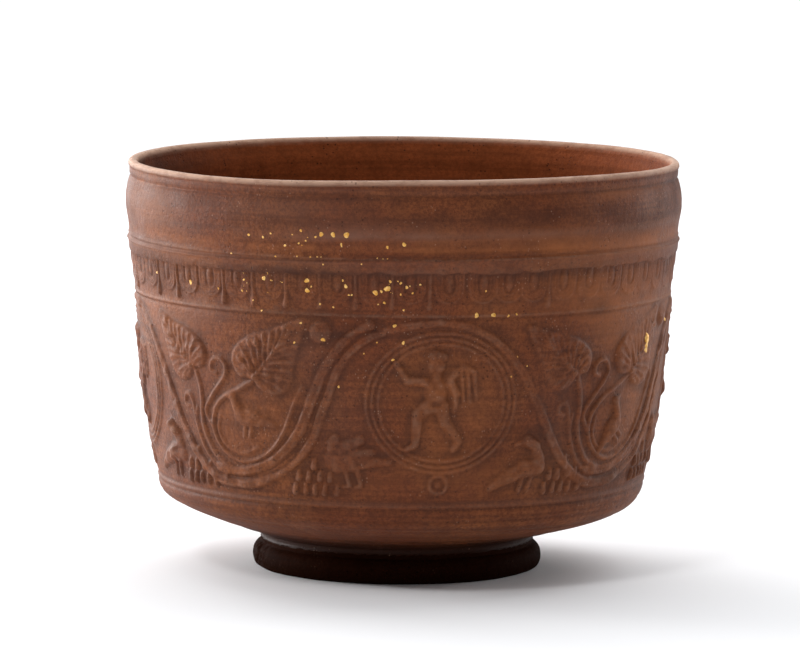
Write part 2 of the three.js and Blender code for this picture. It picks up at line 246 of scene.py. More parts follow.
def distance_to(xs, ys, start, end):
    """Distance to a straight piece, and the share of the way along it."""
    way = end - start
    t = ((xs - start[0]) * way[0] + (ys - start[1]) * way[1]) / max(way @ way, 1e-9)
    t = np.clip(t, 0, 1)
    return np.hypot(xs - start[0] - t * way[0], ys - start[1] - t * way[1]), t


def inside_distance(xs, ys, outline):
    """Distance into a closed outline: positive inside, negative outside."""
    nearest = np.full(xs.shape, 1e9)
    inside = np.zeros(xs.shape, bool)
    for k in range(len(outline)):
        a, b = outline[k - 1], outline[k]
        nearest = np.minimum(nearest, distance_to(xs, ys, a, b)[0])
        if a[1] != b[1]:
            cut = a[0] + (ys - a[1]) * (b[0] - a[0]) / (b[1] - a[1])
            inside ^= ((a[1] > ys) != (b[1] > ys)) & (xs < cut)
    return np.where(inside, nearest, -nearest)


def softened(heights, reach):
    """Blurs a grid of heights over a reach in millimetres."""
    n = int(3 * reach / STEP) + 1
    weights = np.exp(-0.5 * (np.arange(-n, n + 1) * STEP / reach) ** 2)
    weights /= weights.sum()
    tall = np.pad(heights, ((n, n), (0, 0)), mode="edge")
    rows = sum(w * tall[i:i + heights.shape[0]] for i, w in enumerate(weights))
    wide = np.pad(rows, ((0, 0), (n, n)), mode="wrap")
    return sum(w * wide[:, i:i + heights.shape[1]] for i, w in enumerate(weights))


# Motifs of the vine scroll

# The leaf's two edges, as shares of its length and of its half width
LEAF_EDGES = (
    [(0.02, 0), (-0.07, 0.28), (-0.08, 0.55), (0.0, 0.9), (0.17, 0.99), (0.42, 0.81), (0.68, 0.43),
     (1.0, 0)],
    [(0.8, 0.33), (0.55, 0.62), (0.36, 0.88), (0.2, 0.95), (0.07, 0.74), (0.0, 0.38), (0.0, 0.15)],
)
# Where the side veins leave the midrib, and the places that they reach
LEAF_VEINS = np.array([(0.02, -0.12, 0.55), (0.05, 0.0, 0.92), (0.09, 0.2, 1.02), (0.16, 0.42, 0.9),
                       (0.26, 0.58, 0.7), (0.4, 0.72, 0.5), (0.55, 0.85, 0.3)])
VEIN_COUNT = 10


def leaf(sheet, base, tip, width, larger=1, height=0.85):
    """Heart-shaped leaf: a low body with a midrib and a fan of fine side veins. Its larger lobe
    is on the left of the midrib, or with -1 on the right."""
    base, tip = np.array(base, float), np.array(tip, float)
    length = np.hypot(*(tip - base))
    along = (tip - base) / length
    side = np.array([-along[1], along[0]]) * larger

    def at(u, v):
        return base + along * (u * length) + side * (v * width / 2)

    outline = [at(u, v) for u, v in LEAF_EDGES[0]] + [at(u, -v) for u, v in LEAF_EDGES[1]]
    edge = smooth_line(outline, step=1.2, closed=True)
    part, xs, ys = sheet.window(*(edge.min(0) - 1), *(edge.max(0) + 1))
    depth = inside_distance(xs, ys, edge)
    sheet.put(part, height * (0.7 * np.clip(depth / 0.8 + 0.4, 0, 1) + 0.3 * np.clip(depth / 4, 0, 1)))

    def within(px, py):
        return np.clip(inside_distance(px, py, edge), 0, 1)

    sheet.rib([at(-0.02, 0), at(0.5, 0.0), at(0.97, 0)], 1.6, 0.32, end_width=0.7, add=True, mask=within)
    given = range(len(LEAF_VEINS))
    for k in range(VEIN_COUNT):
        place = k * given[-1] / (VEIN_COUNT - 1)
        leave, reach_u, reach_v = (np.interp(place, given, column) for column in LEAF_VEINS.T)
        for sign in (1, -1):
            start, end = at(leave, 0), at(reach_u, sign * reach_v)
            middle = 0.5 * (start + end) + along * (0.03 * length)
            sheet.rib([start, middle, end], 1.0, 0.36, end_width=0.95, add=True, mask=within)


def child(sheet, middle, ground, size=35.3, relief=1.35):
    """A small winged child walking to the left, with a smooth plain head."""
    def at(x, y):
        return middle + x * size, ground + y * size

    def bar(x0, y0, x1, y1, start, end, lift):
        sheet.limb(at(x0, y0), at(x1, y1), start * size, end * size, lift * relief)

    def mound(x, y, wide, high, lift, tilt=0.0):
        sheet.blob(*at(x, y), wide * size, high * size, lift * relief, tilt)

    # Wing behind the shoulder
    bar(0.10, 0.73, 0.23, 0.84, 0.045, 0.035, 0.6)
    bar(0.23, 0.84, 0.34, 0.79, 0.040, 0.028, 0.6)
    bar(0.33, 0.79, 0.37, 0.52, 0.026, 0.018, 0.45)
    bar(0.27, 0.80, 0.30, 0.48, 0.026, 0.018, 0.45)
    bar(0.21, 0.78, 0.235, 0.50, 0.026, 0.018, 0.45)
    # Back leg and front leg
    bar(0.01, 0.45, 0.06, 0.285, 0.088, 0.068, 0.95)
    bar(0.06, 0.285, 0.20, 0.095, 0.062, 0.046, 0.85)
    bar(0.20, 0.09, 0.15, 0.01, 0.042, 0.034, 0.75)
    bar(-0.09, 0.465, -0.215, 0.365, 0.088, 0.074, 1.0)
    bar(-0.22, 0.36, -0.24, 0.085, 0.070, 0.048, 0.9)
    bar(-0.24, 0.06, -0.32, 0.015, 0.040, 0.030, 0.75)
    # Body
    mound(-0.04, 0.58, 0.118, 0.175, 1.1)
    mound(-0.035, 0.46, 0.120, 0.095, 1.05)
    # Arms
    bar(0.09, 0.70, 0.16, 0.565, 0.052, 0.046, 0.9)
    bar(0.16, 0.565, 0.14, 0.41, 0.044, 0.034, 0.75)
    bar(-0.14, 0.69, -0.32, 0.705, 0.056, 0.048, 0.95)
    bar(-0.32, 0.705, -0.415, 0.84, 0.045, 0.034, 0.85)
    mound(-0.43, 0.865, 0.045, 0.035, 0.75, 2.4)
    # Neck, head and hair
    bar(-0.04, 0.72, -0.04, 0.80, 0.052, 0.052, 0.85)
    mound(-0.04, 0.865, 0.094, 0.112, 1.1)
    mound(-0.03, 0.945, 0.108, 0.066, 1.15, -0.15)


def coil_bird(sheet, x, y, size, facing, lean=0.0, relief=1.0):
    """A small worn bird. Facing is 1 to the right and -1 to the left."""
    c, s = math.cos(lean), math.sin(lean)

    def at(u, v):
        return np.array([x + facing * size * (u * c - v * s), y + size * (u * s + v * c)])

    def bar(start, end, start_radius, end_radius, lift):
        sheet.limb(start, end, start_radius * size, end_radius * size, lift * relief)

    neck, head = at(0.34, 0.24), at(0.42, 0.42)
    sheet.blob(x, y, 0.38 * size, 0.23 * size, 1.1 * relief, tilt=facing * lean)
    bar(at(-0.22, 0.0), at(-0.72, -0.1), 0.15, 0.07, 0.75)
    bar(at(0.2, 0.05), neck, 0.17, 0.11, 1.0)
    bar(neck, head, 0.11, 0.09, 1.0)
    sheet.blob(*head, 0.12 * size, 0.1 * size, 1.1 * relief)
    bar(head, at(0.62, 0.38), 0.06, 0.02, 0.7)
    for k in range(3):
        bar(at(0.16, 0.1 - 0.08 * k), at(-0.34, -0.08 * k), 0.075, 0.035, 1.25)
    for u in (0.06, -0.1):
        bar(at(u, -0.16), at(u + 0.05, -0.46), 0.06, 0.045, 0.7)


# Birds beside a medallion, as tapering bars from its middle: the two ends, their radii and
# the height of the bar. The left one flaps its wings and the right one looks back.
LEFT_BIRD = [
    ((-36.5, 50.2), (-31, 49.6), 5.2, 4.0, 1.2), ((-31, 49.6), (-17.5, 49.4), 3.4, 0.9, 1.0),
    ((-37.5, 54.2), (-37.4, 57), 3.0, 2.3, 1.2), ((-34.5, 54), (-28, 57.2), 3.0, 1.9, 1.3),
    ((-33, 52), (-24, 52.8), 2.8, 1.5, 1.2), ((-38.8, 57), (-41, 56), 0.9, 0.4, 0.9),
    ((-33.6, 46), (-32.4, 41), 1.0, 0.8, 0.8), ((-29.4, 46.5), (-28.2, 41), 1.0, 0.8, 0.8),
    ((-32.4, 40.6), (-34.6, 40.2), 0.7, 0.5, 0.6), ((-28.2, 40.6), (-30.3, 40.2), 0.7, 0.5, 0.6),
]
RIGHT_BIRD = [
    ((38.6, 46.8), (33, 46.2), 3.5, 3.4, 1.25), ((33, 46.2), (26, 43.3), 3.3, 2.6, 1.15),
    ((26, 43.3), (19.8, 39.6), 2.5, 1.2, 0.95), ((38.8, 49.2), (37.2, 53.6), 2.7, 2.1, 1.2),
    ((37, 54), (33.8, 56.2), 2.2, 2.2, 1.35), ((32.6, 56), (29.2, 55), 0.9, 0.4, 0.9),
    ((37, 48.8), (28, 45.6), 0.9, 0.5, 1.5), ((37, 46.2), (28.4, 43.2), 0.9, 0.5, 1.45),
    ((33, 43.4), (31.6, 38.2), 0.9, 0.7, 0.8), ((36.4, 43), (35.2, 38.2), 0.9, 0.7, 0.8),
]


# Rows of a bunch of drops: how far down the row lies, and how many drops it has
DROP_ROWS = ((0.0, 1), (4.7, 4), (9.4, 5))
DROP_PITCH = 4.0


def drops(sheet, x, y):
    """A bunch of upright drops, widening downwards."""
    rng = np.random.default_rng(7)
    for down, count in DROP_ROWS:
        for i in range(count):
            middle = x + (i - (count - 1) / 2) * DROP_PITCH + rng.uniform(-0.35, 0.35)
            low = y - down - rng.uniform(1.0, 1.6)
            sheet.limb((middle + 0.3, y - down + 1.0), (middle, low), 0.9, rng.uniform(1.1, 1.4), 0.85)


# The stems are flat, with a shallow groove along their middle.
STEM_HEIGHT = 0.75
STEM_GROOVE = -0.16

# The wavy main stem over one repeat, from the crest above one medallion down into the
# trough, and from there up to the next crest
STEM_DOWN = [(0, 99.1), (11, 97.1), (21.5, 90.5), (29.5, 81.5), (37.5, 68), (43.5, 56.5),
             (51.5, 46), (62, 39.6), (73.9, 39.1)]
STEM_UP = [(73.9, 39.1), (77.7, 39.6), (86.2, 42.6), (93.3, 46.8), (99.6, 52), (103.9, 58),
           (106.5, 65), (109.8, 73), (112.8, 81), (117.2, 87.7), (122.2, 92.2), (129.2, 95.7),
           (139.2, 98), (149.2, 99.1)]

# Lines of the trough between two medallions, from the trough's middle. The groove parts the
# two flat stems that come down into the trough together.
GROOVE = [(54, 96.8), (47, 94.3), (40.4, 87.7), (35.9, 81), (33.7, 74.3), (30.4, 66.6), (28.2, 59.9),
          (23.2, 52.1), (17, 46.6), (10.4, 43.2), (1.5, 40.9), (-8, 40.9)]
BRANCH = [(50, 97.6), (41.9, 92), (35.7, 84), (31.6, 76), (27.3, 66), (23.9, 59.3), (20.3, 54.6),
          (15.1, 49.6), (8.6, 46), (0, 43.5), (-8, 43), (-13, 44)]
LEAF_STEM = [(-21.7, 78.8), (-19.5, 72.9), (-18.9, 65.7), (-19.4, 60.3), (-17.2, 53.3),
             (-12.4, 47.0), (-4, 43.2)]
VOLUTE = [(-13.6, 58), (-16.9, 64), (-12.2, 70.5), (-7.2, 75.9), (-5.6, 80.2), (-8.6, 83.2),
          (-12.4, 81.9), (-12.9, 78.6), (-10.2, 77.6)]
COIL = [(6.5, 76.2), (1.3, 73.6), (-7.8, 69.0), (-12.8, 63.4), (-13.2, 56.1), (-8.8, 50),
        (-1, 46.9), (7, 48.6), (13.6, 53), (18.4, 60), (21.8, 68), (25.6, 76)]
INNER_COIL = [(-10.2, 62.5), (-11.2, 57.2), (-7.6, 51.9), (0.3, 49.9), (7, 52.6)]
HOOK = [(-26.2, 64.6), (-28.6, 65.2), (-28.4, 68.2), (-25.9, 68.8), (-24.2, 66.0),
        (-22.9, 58.2), (-19.9, 50.6), (-15.1, 44.4)]


def trough(sheet, middle, looks_up):
    """Stems, coil, tendrils and leaves between two medallions, with a bird in the coil."""
    def put(points, width, height, end_width=None, **how):
        sheet.rib([(x + middle, y) for x, y in points], width, height, end_width, **how)

    put(BRANCH, 5.0, 0.7, 3.4, power=6)
    put(LEAF_STEM, 2.4, 0.6)
    put(VOLUTE, 2.0, 0.6, 1.6)
    put(COIL, 2.2, 0.62, 1.0)
    put(INNER_COIL, 1.3, 0.4)
    put(HOOK, 1.7, 0.5)
    put([(x - 3.2, y - 1.2) for x, y in LEAF_STEM[2:]], 1.4, 0.4)
    put(GROOVE, 1.7, -0.6, add=True)
    put(BRANCH, 1.0, STEM_GROOVE, add=True)
    leaf(sheet, (middle - 21.6, 78.2), (middle - 43.2, 97.4), 21, larger=-1)
    leaf(sheet, (middle + 6.2, 76.4), (middle + 26.6, 99.6), 25.5)
    sheet.blob(middle + 32.8, 95.2, 4.1, 4.1, 1.0, power=0.35)
    if looks_up:
        coil_bird(sheet, middle + 0.5, 58.5, 15.5, 1, lean=0.75)
    else:
        coil_bird(sheet, middle + 3.0, 63.0, 15.5, -1, lean=0.05, relief=0.75)


# Rings of a medallion, a little wider than high: radius, width and height of the rib
MEDALLION_LEVEL = 70.6
MEDALLION_RINGS = ((25.7, 1.6, 0.52), (23.7, 1.4, 0.56), (21.6, 1.3, 0.46))
ROSETTE_LEVEL = 41.4
ROSETTE_RADIUS = 3.2


def medallion(sheet, middle):
    """Three rings round a walking child, a rosette below, a bird and drops at each side."""
    turns = np.linspace(0, 2 * np.pi, 24, endpoint=False)

    def ring(x, y, wide, high, width, height):
        line = np.c_[x + wide * np.cos(turns), y + high * np.sin(turns)]
        sheet.rib(line, width, height, closed=True)

    for radius, width, height in MEDALLION_RINGS:
        ring(middle + 0.8, MEDALLION_LEVEL, 1.04 * radius, 0.965 * radius, width, height)
    child(sheet, middle, 53.8)
    ring(middle + 0.2, ROSETTE_LEVEL, ROSETTE_RADIUS, ROSETTE_RADIUS, 1.6, 0.6)
    sheet.blob(middle + 0.2, ROSETTE_LEVEL, 1.2, 1.2, 0.5)
    for (x0, y0), (x1, y1), *form in LEFT_BIRD + RIGHT_BIRD:
        sheet.limb((x0 + middle, y0), (x1 + middle, y1), *form)
    drops(sheet, middle - 45.6, 48.6)
    drops(sheet, middle + 50.5, 48.6)


# Middles of the stamped eggs over the drawn span. The stamp wasn't set at even steps.
EGGS = [-145.8, -134, -122.6, -109.6, -96.6, -85.3, -73, -60, -47.7, -35.4, -23, -10.6, 2.4, 14.1,
        23.3, 32.5, 44.4, 55.8, 66.4, 77.4, 87.6, 98.3, 109.4, 120.6, 131.6, 142]
LEAST_FOR_TONGUE = 11.8
# Borders of an egg: half width, depth from its top, and width and height of the rib
EGG_BORDERS = ((4.7, 10.2, 0.9, 0.42), (3.6, 9.0, 0.8, 0.42), (2.5, 7.8, 0.8, 0.4))
TONGUE_NECK = 107.5
TONGUE_TIP = 104.4


def ovolo(sheet, middle, after):
    """One egg in its three borders, and the tongue before the next egg if there is room."""
    for half, drop, width, height in EGG_BORDERS:
        round_middle = OVOLO_TOP - drop + half
        bottom = [(middle + half * math.cos(t), round_middle + half * math.sin(t))
                  for t in np.linspace(np.pi, 2 * np.pi, 9)]
        left = [(middle - half, OVOLO_TOP + 0.4), (middle - half, round_middle + 1)]
        right = [(middle + half, round_middle + 1), (middle + half, OVOLO_TOP + 0.4)]
        sheet.rib(left + bottom + right, width, height)
    sheet.blob(middle, OVOLO_TOP - 3.0, 1.5, 3.6, 0.42)
    if after - middle > LEAST_FOR_TONGUE:
        tongue = (middle + after) / 2
        sheet.limb((tongue, OVOLO_TOP), (tongue, TONGUE_NECK), 0.6, 0.55, 0.55)
        sheet.limb((tongue, TONGUE_NECK), (tongue - 0.2, TONGUE_TIP), 0.7, 1.1, 0.6)


# Places where the moulded relief is rubbed faint: middle, half width, half height and share lost
RUBBED = [((34, 79, 13, 17), 0.6), ((16, 98, 18, 4), 0.5), ((62, 110, 38, 9), 0.3),
          ((-62, 112, 24, 6), 0.25), ((84, 95, 10, 7), 0.7), ((-5, 108, 12, 8), 0.15),
          ((-166, 84, 18, 30), 0.85), ((-74, 60, 11, 10), 0.35)]


def moulded_relief():
    """Heights of the moulded wall over the whole way round, from the lower line up."""
    sheet = Sheet(LOWER_LINE, BAND_BOTTOM)
    for k in range(-3, 3):
        for points, width, end_width in ((STEM_DOWN, 2.6, 4.2), (STEM_UP, 4.7, 2.8)):
            line = [(x + k * REPEAT, y) for x, y in points]
            sheet.rib(line, width, STEM_HEIGHT, end_width, power=6)
            sheet.rib(line, 0.9, STEM_GROOVE, add=True)
    for k in range(-2, 3):
        medallion(sheet, k * REPEAT)
        trough(sheet, (k - 0.5) * REPEAT, looks_up=k % 2 == 1)
    for middle, after in zip(EGGS, EGGS[1:] + [EGGS[0] + sheet.span]):
        for shift in (-sheet.span, 0, sheet.span):
            ovolo(sheet, middle + shift, after + shift)
    whole = np.tile(softened(sheet.h, 0.3), (1, REPEATS // 2))
    # The two repeats drawn run from -REPEAT to REPEAT, so the second copy starts at REPEAT.
    x = (np.arange(FINE_COLUMNS) + 0.5) * STEP - REPEAT
    xs, ys = np.meshgrid(x, sheet.y)
    for spot, lost in RUBBED:
        whole *= 1 - lost * patch(xs, ys, spot)
    whole *= 1 + 0.2 * soft_noise(xs, ys, 16, 5) + 0.25 * soft_noise(xs, ys, 5, 6)
    whole *= 1 + 0.3 * soft_noise(xs, ys, 2.2, 8)
    # Plain band above the eggs, with an uneven lower edge
    edge = OVOLO_TOP + 0.2 + 0.6 * soft_noise(xs, ys * 0, 7, 11) + 0.4 * soft_noise(xs, ys * 0, 2.4, 12)
    whole = np.maximum(whole, 0.6 * np.clip((ys - edge) / 0.7 + 0.5, 0, 1))
    return x, sheet.y, whole


# Profile

# Rings turned into the clay: height, rise or dip, and half width
TURNED_LINES = [
    (BAND_BOTTOM, -0.25, 0.34), (121.1, 0.4, 0.34), (NECK, -0.42, 0.55), (146.3, -0.22, 0.45),
    (SCROLL_TOP + 0.25, 0.36, 0.5), (SCROLL_TOP - 0.8, -0.3, 0.5), (LOWER_LINE, -0.3, 0.5),
    (33.2, 0.14, 0.6), (32.1, -0.5, 0.5), (27.6, -0.22, 0.5), (23.0, -0.22, 0.5),
    (16.8, -0.45, 0.5), (14.8, -0.4, 0.45),
]


def turned_lines(z):
    """How far the turned rings stand out or dip in at a height."""
    return sum(rise * np.exp(-((z - level) / half) ** 2) for level, rise, half in TURNED_LINES)


def wall_radius(z):
    """Radius of the wall without its lines and relief."""
    curve = drawn_curve([
        (LOWER_LINE_RADIUS, LOWER_LINE),
        ((LOWER_LINE_RADIUS + SCROLL_TOP_RADIUS) / 2 + WALL_SWELL,
         LOWER_LINE + 0.35 * (SCROLL_TOP - LOWER_LINE)),
        (SCROLL_TOP_RADIUS, SCROLL_TOP),
    ], 80)
    radii = np.r_[curve[:, 0], OVOLO_TOP_RADIUS]
    levels = np.r_[curve[:, 1], BAND_BOTTOM]
    return np.interp(z, levels, radii)


def spaced(points, step):
    """Points about every step along a chain, without its last one."""
    points = np.array(points, float)
    run = np.r_[0, np.cumsum(np.hypot(*np.diff(points, axis=0).T))]
    places = np.linspace(0, run[-1], max(2, round(run[-1] / step) + 1))[:-1]
    return np.c_[np.interp(places, run, points[:, 0]), np.interp(places, run, points[:, 1])]


# Points of the foot and of the rim: radius and height
FOOT_PROFILE = [
    (RECESS_RADIUS - 0.2, 0.9), (RECESS_RADIUS + 0.7, 0.05), (47.3, 0.0), (50.2, 0.05), (51.7, 0.6),
    (52.5, 2.2), (FOOT_RADIUS, 4.0), (52.4, 6.0), (51.6, 7.4), (50.6, 8.3), (49.5, 8.9),
    (49.9, 9.6), (49.7, 10.4), (49.25, 10.8), (49.5, 11.4), (49.6, 12.0), (COLLAR_RADIUS, FOOT_TOP),
]
RIM_PROFILE = [
    (99.75, BAND_BOTTOM + 0.35), (100.0, 122.9), (99.75, 124), (100.05, 127), (100.6, 130),
    (101.0, 133.5), (100.85, 137), (100.35, 140), (99.75, 142.2), (99.6, NECK), (99.55, 144.6),
    (99.7, 146), (99.98, 147), (99.9, 147.9), (99.45, 148.5), (98.6, RIM), (97.6, 148.7),
    (96.8, 148.1), (96.35, 147.1), (95.9, 145.2), (INNER_NECK_RADIUS, NECK - 1.5),
]


def inner_radius(z):
    """Radius of the inside of the wall."""
    upper = np.interp(z, [BAND_BOTTOM, NECK - 1.5], [OVOLO_TOP_RADIUS - WALL, INNER_NECK_RADIUS])
    return np.where(z > BAND_BOTTOM, upper, wall_radius(z) - WALL)


def profile():
    """Rows of the profile from the middle of the underside, over the rim, to the middle of the
    floor: radius, height, and whether the row lies on the moulded wall."""
    recess = spaced([(1.2, RECESS_DEPTH), (40.6, RECESS_DEPTH), (42.2, 7.6), (RECESS_RADIUS - 0.3, 1.2)], 2)
    foot = spaced(smooth_line(FOOT_PROFILE, 0.3), 0.45)
    reach = LOWER_LINE_RADIUS - COLLAR_RADIUS
    rise = LOWER_LINE - FOOT_TOP
    underside = spaced(drawn_curve([
        (COLLAR_RADIUS, FOOT_TOP), (COLLAR_RADIUS + 0.83 * reach, FOOT_TOP + 0.45 * rise),
        (LOWER_LINE_RADIUS - 0.012 * reach, FOOT_TOP + 0.45 * rise), (LOWER_LINE_RADIUS, LOWER_LINE),
    ], 200), 0.6)
    levels = np.linspace(LOWER_LINE, BAND_BOTTOM, round((BAND_BOTTOM - LOWER_LINE) / STEP) + 1)
    wall = np.c_[wall_radius(levels), levels]
    rim = spaced(smooth_line(RIM_PROFILE, 0.3), 0.4)
    end_level = LOWER_LINE + 0.26 * (SCROLL_TOP - LOWER_LINE)
    down = np.arange(NECK - 1.5, end_level, -1.6)
    inside = np.c_[inner_radius(down), down]
    end_radius = float(inner_radius(end_level))
    floor = spaced(drawn_curve([
        (end_radius, end_level), (0.985 * end_radius, FLOOR_LEVEL + 0.22 * (end_level - FLOOR_LEVEL)),
        (0.62 * end_radius, FLOOR_LEVEL), (0.8, FLOOR_LEVEL),
    ], 200), 1.6)
    parts = (recess, foot, underside, wall, rim, inside, floor)
    rows = np.vstack(parts)
    fine = np.concatenate([np.full(len(part), part is wall) for part in parts])
    return rows, fine


def outward(rows):
    """Unit directions out of the clay, across the profile."""
    way = np.gradient(rows, axis=0)
    way /= np.hypot(way[:, 0], way[:, 1])[:, None]
    return np.c_[way[:, 1], -way[:, 0]]


def foot_damage(x, z):
    """Broken, crazed skin on the left of the foot, in millimetres of depth."""
    zone = patch(x, z, (-143, 5.0, 22, 6.0))
    crazing = np.abs(soft_noise(x * 6, z * 6, 12, 31)) + 0.5 * np.abs(soft_noise(x * 6, z * 6, 5, 32))
    return -zone * (0.25 + 0.9 * crazing)


def hand_made(x, z):
    """Small unevenness left by the wheel, the mould and wear."""
    return (0.10 * soft_noise(x, z, 22, 1) + 0.045 * soft_noise(x, z, 6, 2, stretch=2)
            + 0.022 * soft_noise(x, z, 2.2, 3, stretch=1.5))


# How far the upper bands hang low, by the angle round the bowl in degrees
SAG = [(-180, 0.25), (-120, 1.0), (-85, 1.5), (-50, 1.9), (-30, 1.5), (-12, 0.35), (5, 0.1),
       (35, 0.05), (50, 0.25), (75, 0.7), (110, 0.2), (180, 0.25)]


def rim_sag(x, z):
    """The upper bands dip at the front left and a little at the right."""
    line = smooth_line(SAG, step=4)
    turn = (np.degrees(turn_at(x)) + 180) % 360 - 180
    share = np.interp(z, [SCROLL_TOP - 8, SCROLL_TOP, BAND_BOTTOM, RIM], [0, 0.25, 1.0, 0.75])
    return -share * np.interp(turn, line[:, 0], line[:, 1])


def foot_shift(z):
    """The foot was turned a little off the middle, towards the left."""
    return -1.5 * eased(np.clip((LOWER_LINE - z) / (LOWER_LINE - FOOT_TOP), 0, 1))


def underside_lift(x, z):
    """The left of the underside sits higher than the right."""
    return 1.2 * (0.3 - np.sin(turn_at(x))) * np.exp(-((z - 22.5) / 6.5) ** 2)


def ring_points(x, radius, level, normal, outside, raised, unevenness):
    """Points round the bowl for one row of the profile. They are pushed along the way out of the
    clay by unevenness, turned rings, broken skin and relief, and hang down where the bowl sags."""
    z = np.full(x.shape, level)
    push = hand_made(x, z) * unevenness
    if outside and level > FOOT_TOP and radius > COLLAR_RADIUS:
        push = push + turned_lines(level)
    elif outside and level < FOOT_TOP and radius > RECESS_RADIUS + 4:
        push = push + foot_damage(x, z) * min(1, level / 2)
    push = push + raised
    # The standing ring and the very middle stay true.
    if level <= 0.1 or radius < 2:
        push = push * 0
    lift = rim_sag(x, z)
    if outside and level > FOOT_TOP:
        lift = lift + underside_lift(x, z)
    r = (radius + push * normal[0]) * ROUND_FIT
    turn = turn_at(x)
    height = np.clip(level + push * normal[1] + lift, 0, RIM)
    return np.c_[r * np.sin(turn) + foot_shift(level), -r * np.cos(turn), height]


def bowl_surface(settings):
    """Vertices and triangles of the bowl before thinning, and its relief grid."""
    sheet_x, sheet_y, relief = moulded_relief()
    relief = relief * settings.relief
    rows, fine = profile()
    normals = outward(rows)
    outer = np.arange(len(rows)) < np.argmax(rows[:, 1])
    points, starts = [], []
    total = 0
    for i, (radius, level) in enumerate(rows):
        x = sheet_x if fine[i] else sheet_x[::COARSE_SHARE]
        raised = relief[round((level - LOWER_LINE) / STEP)] if fine[i] else 0
        points.append(ring_points(x, radius, level, normals[i], outer[i], raised, settings.unevenness))
        starts.append(total)
        total += len(x)
    faces = [strip(starts[i], len(points[i]), starts[i + 1], len(points[i + 1]))
             for i in range(len(rows) - 1)]
    points.append([[0, 0, rows[0, 1]], [0, 0, rows[-1, 1]]])
    ring = np.arange(len(points[0]))
    after = np.roll(ring, -1)
    faces.append(np.c_[np.full(len(ring), total), after, ring])
    faces.append(np.c_[np.full(len(ring), total + 1), starts[-1] + ring, starts[-1] + after])
    return np.vstack(points) * MM, np.vstack(faces), (sheet_x, sheet_y, relief)


def strip(start, count, next_start, next_count):
    """Triangles between one ring of points and the next, whose counts may differ."""
    if count == next_count:
        a = np.arange(count)
        b = np.roll(a, -1)
        return np.vstack([np.c_[start + a, start + b, next_start + b],
                          np.c_[start + a, next_start + b, next_start + a]])
    wide_above = next_count > count
    few, many = (count, next_count) if wide_above else (next_count, count)
    few_start, many_start = (start, next_start) if wide_above else (next_start, start)
    share = many // few
    a = np.arange(few)
    b = np.roll(a, -1)
    half = share // 2
    parts = [np.c_[few_start + a, few_start + b, many_start + a * share + half]]
    for k in range(share):
        near = a if k < half else b
        this = many_start + a * share + k
        after = many_start + (a * share + k + 1) % many
        parts.append(np.c_[few_start + near, after, this])
    faces = np.vstack(parts)
    return faces if wide_above else faces[:, ::-1]


def mesh_from(name, points, triangles):
    """A mesh of triangles, from arrays of points and of their numbers."""
    mesh = bpy.data.meshes.new(name)
    mesh.vertices.add(len(points))
    mesh.vertices.foreach_set("co", np.asarray(points, np.float32).ravel())
    mesh.loops.add(triangles.size)
    mesh.loops.foreach_set("vertex_index", triangles.astype(np.int32).ravel())
    mesh.polygons.add(len(triangles))
    mesh.polygons.foreach_set("loop_start", np.arange(0, triangles.size, 3, dtype=np.int32))
    mesh.update(calc_edges=True)
    mesh.validate()
    return mesh


def thinned(mesh, most_faces):
    """The mesh with its triangles spent where the relief needs them."""
    piece = bpy.data.objects.new("thinning", mesh)
    bpy.context.scene.collection.objects.link(piece)
    modifier = piece.modifiers.new("Thin", "DECIMATE")
    modifier.ratio = min(1, most_faces / len(mesh.polygons))
    depsgraph = bpy.context.evaluated_depsgraph_get()
    result = bpy.data.meshes.new_from_object(piece.evaluated_get(depsgraph))
    bpy.data.objects.remove(piece)
    bpy.data.meshes.remove(mesh)
    return result


def vertices_of(mesh):
    co = np.zeros(len(mesh.vertices) * 3, np.float32)
    mesh.vertices.foreach_get("co", co)
    return co.reshape(-1, 3)


def kept_inside(mesh):
    """Pulls in the few vertices that thinning has pushed past the frame's box."""
    co = vertices_of(mesh)
    widest = CAD_BOX[1].x - 0.02 * MM
    co[:, 2] = np.clip(co[:, 2], 0, CAD_BOX[1].z - 0.001 * MM)
    co[:, :2] *= np.minimum(1, widest / np.maximum(np.hypot(co[:, 0], co[:, 1]), 1e-9))[:, None]
    mesh.vertices.foreach_set("co", co.ravel())
    mesh.update()


def vertex_places(mesh):
    """Sheet place, height and radius of every vertex, in millimetres."""
    co = vertices_of(mesh).astype(float) / MM
    x = np.arctan2(co[:, 0], -co[:, 1]) * AROUND / (2 * math.pi)
    return x, co[:, 2], np.hypot(co[:, 0], co[:, 1])


def from_grid(grid, values, x, z):
    """Values of a grid over the sheet at single places."""
    sheet_x, sheet_y, _ = grid
    u = ((x - sheet_x[0]) / STEP) % FINE_COLUMNS
    v = np.clip((z - sheet_y[0]) / STEP, 0, len(sheet_y) - 1.001)
    return sampled(values, u, v)


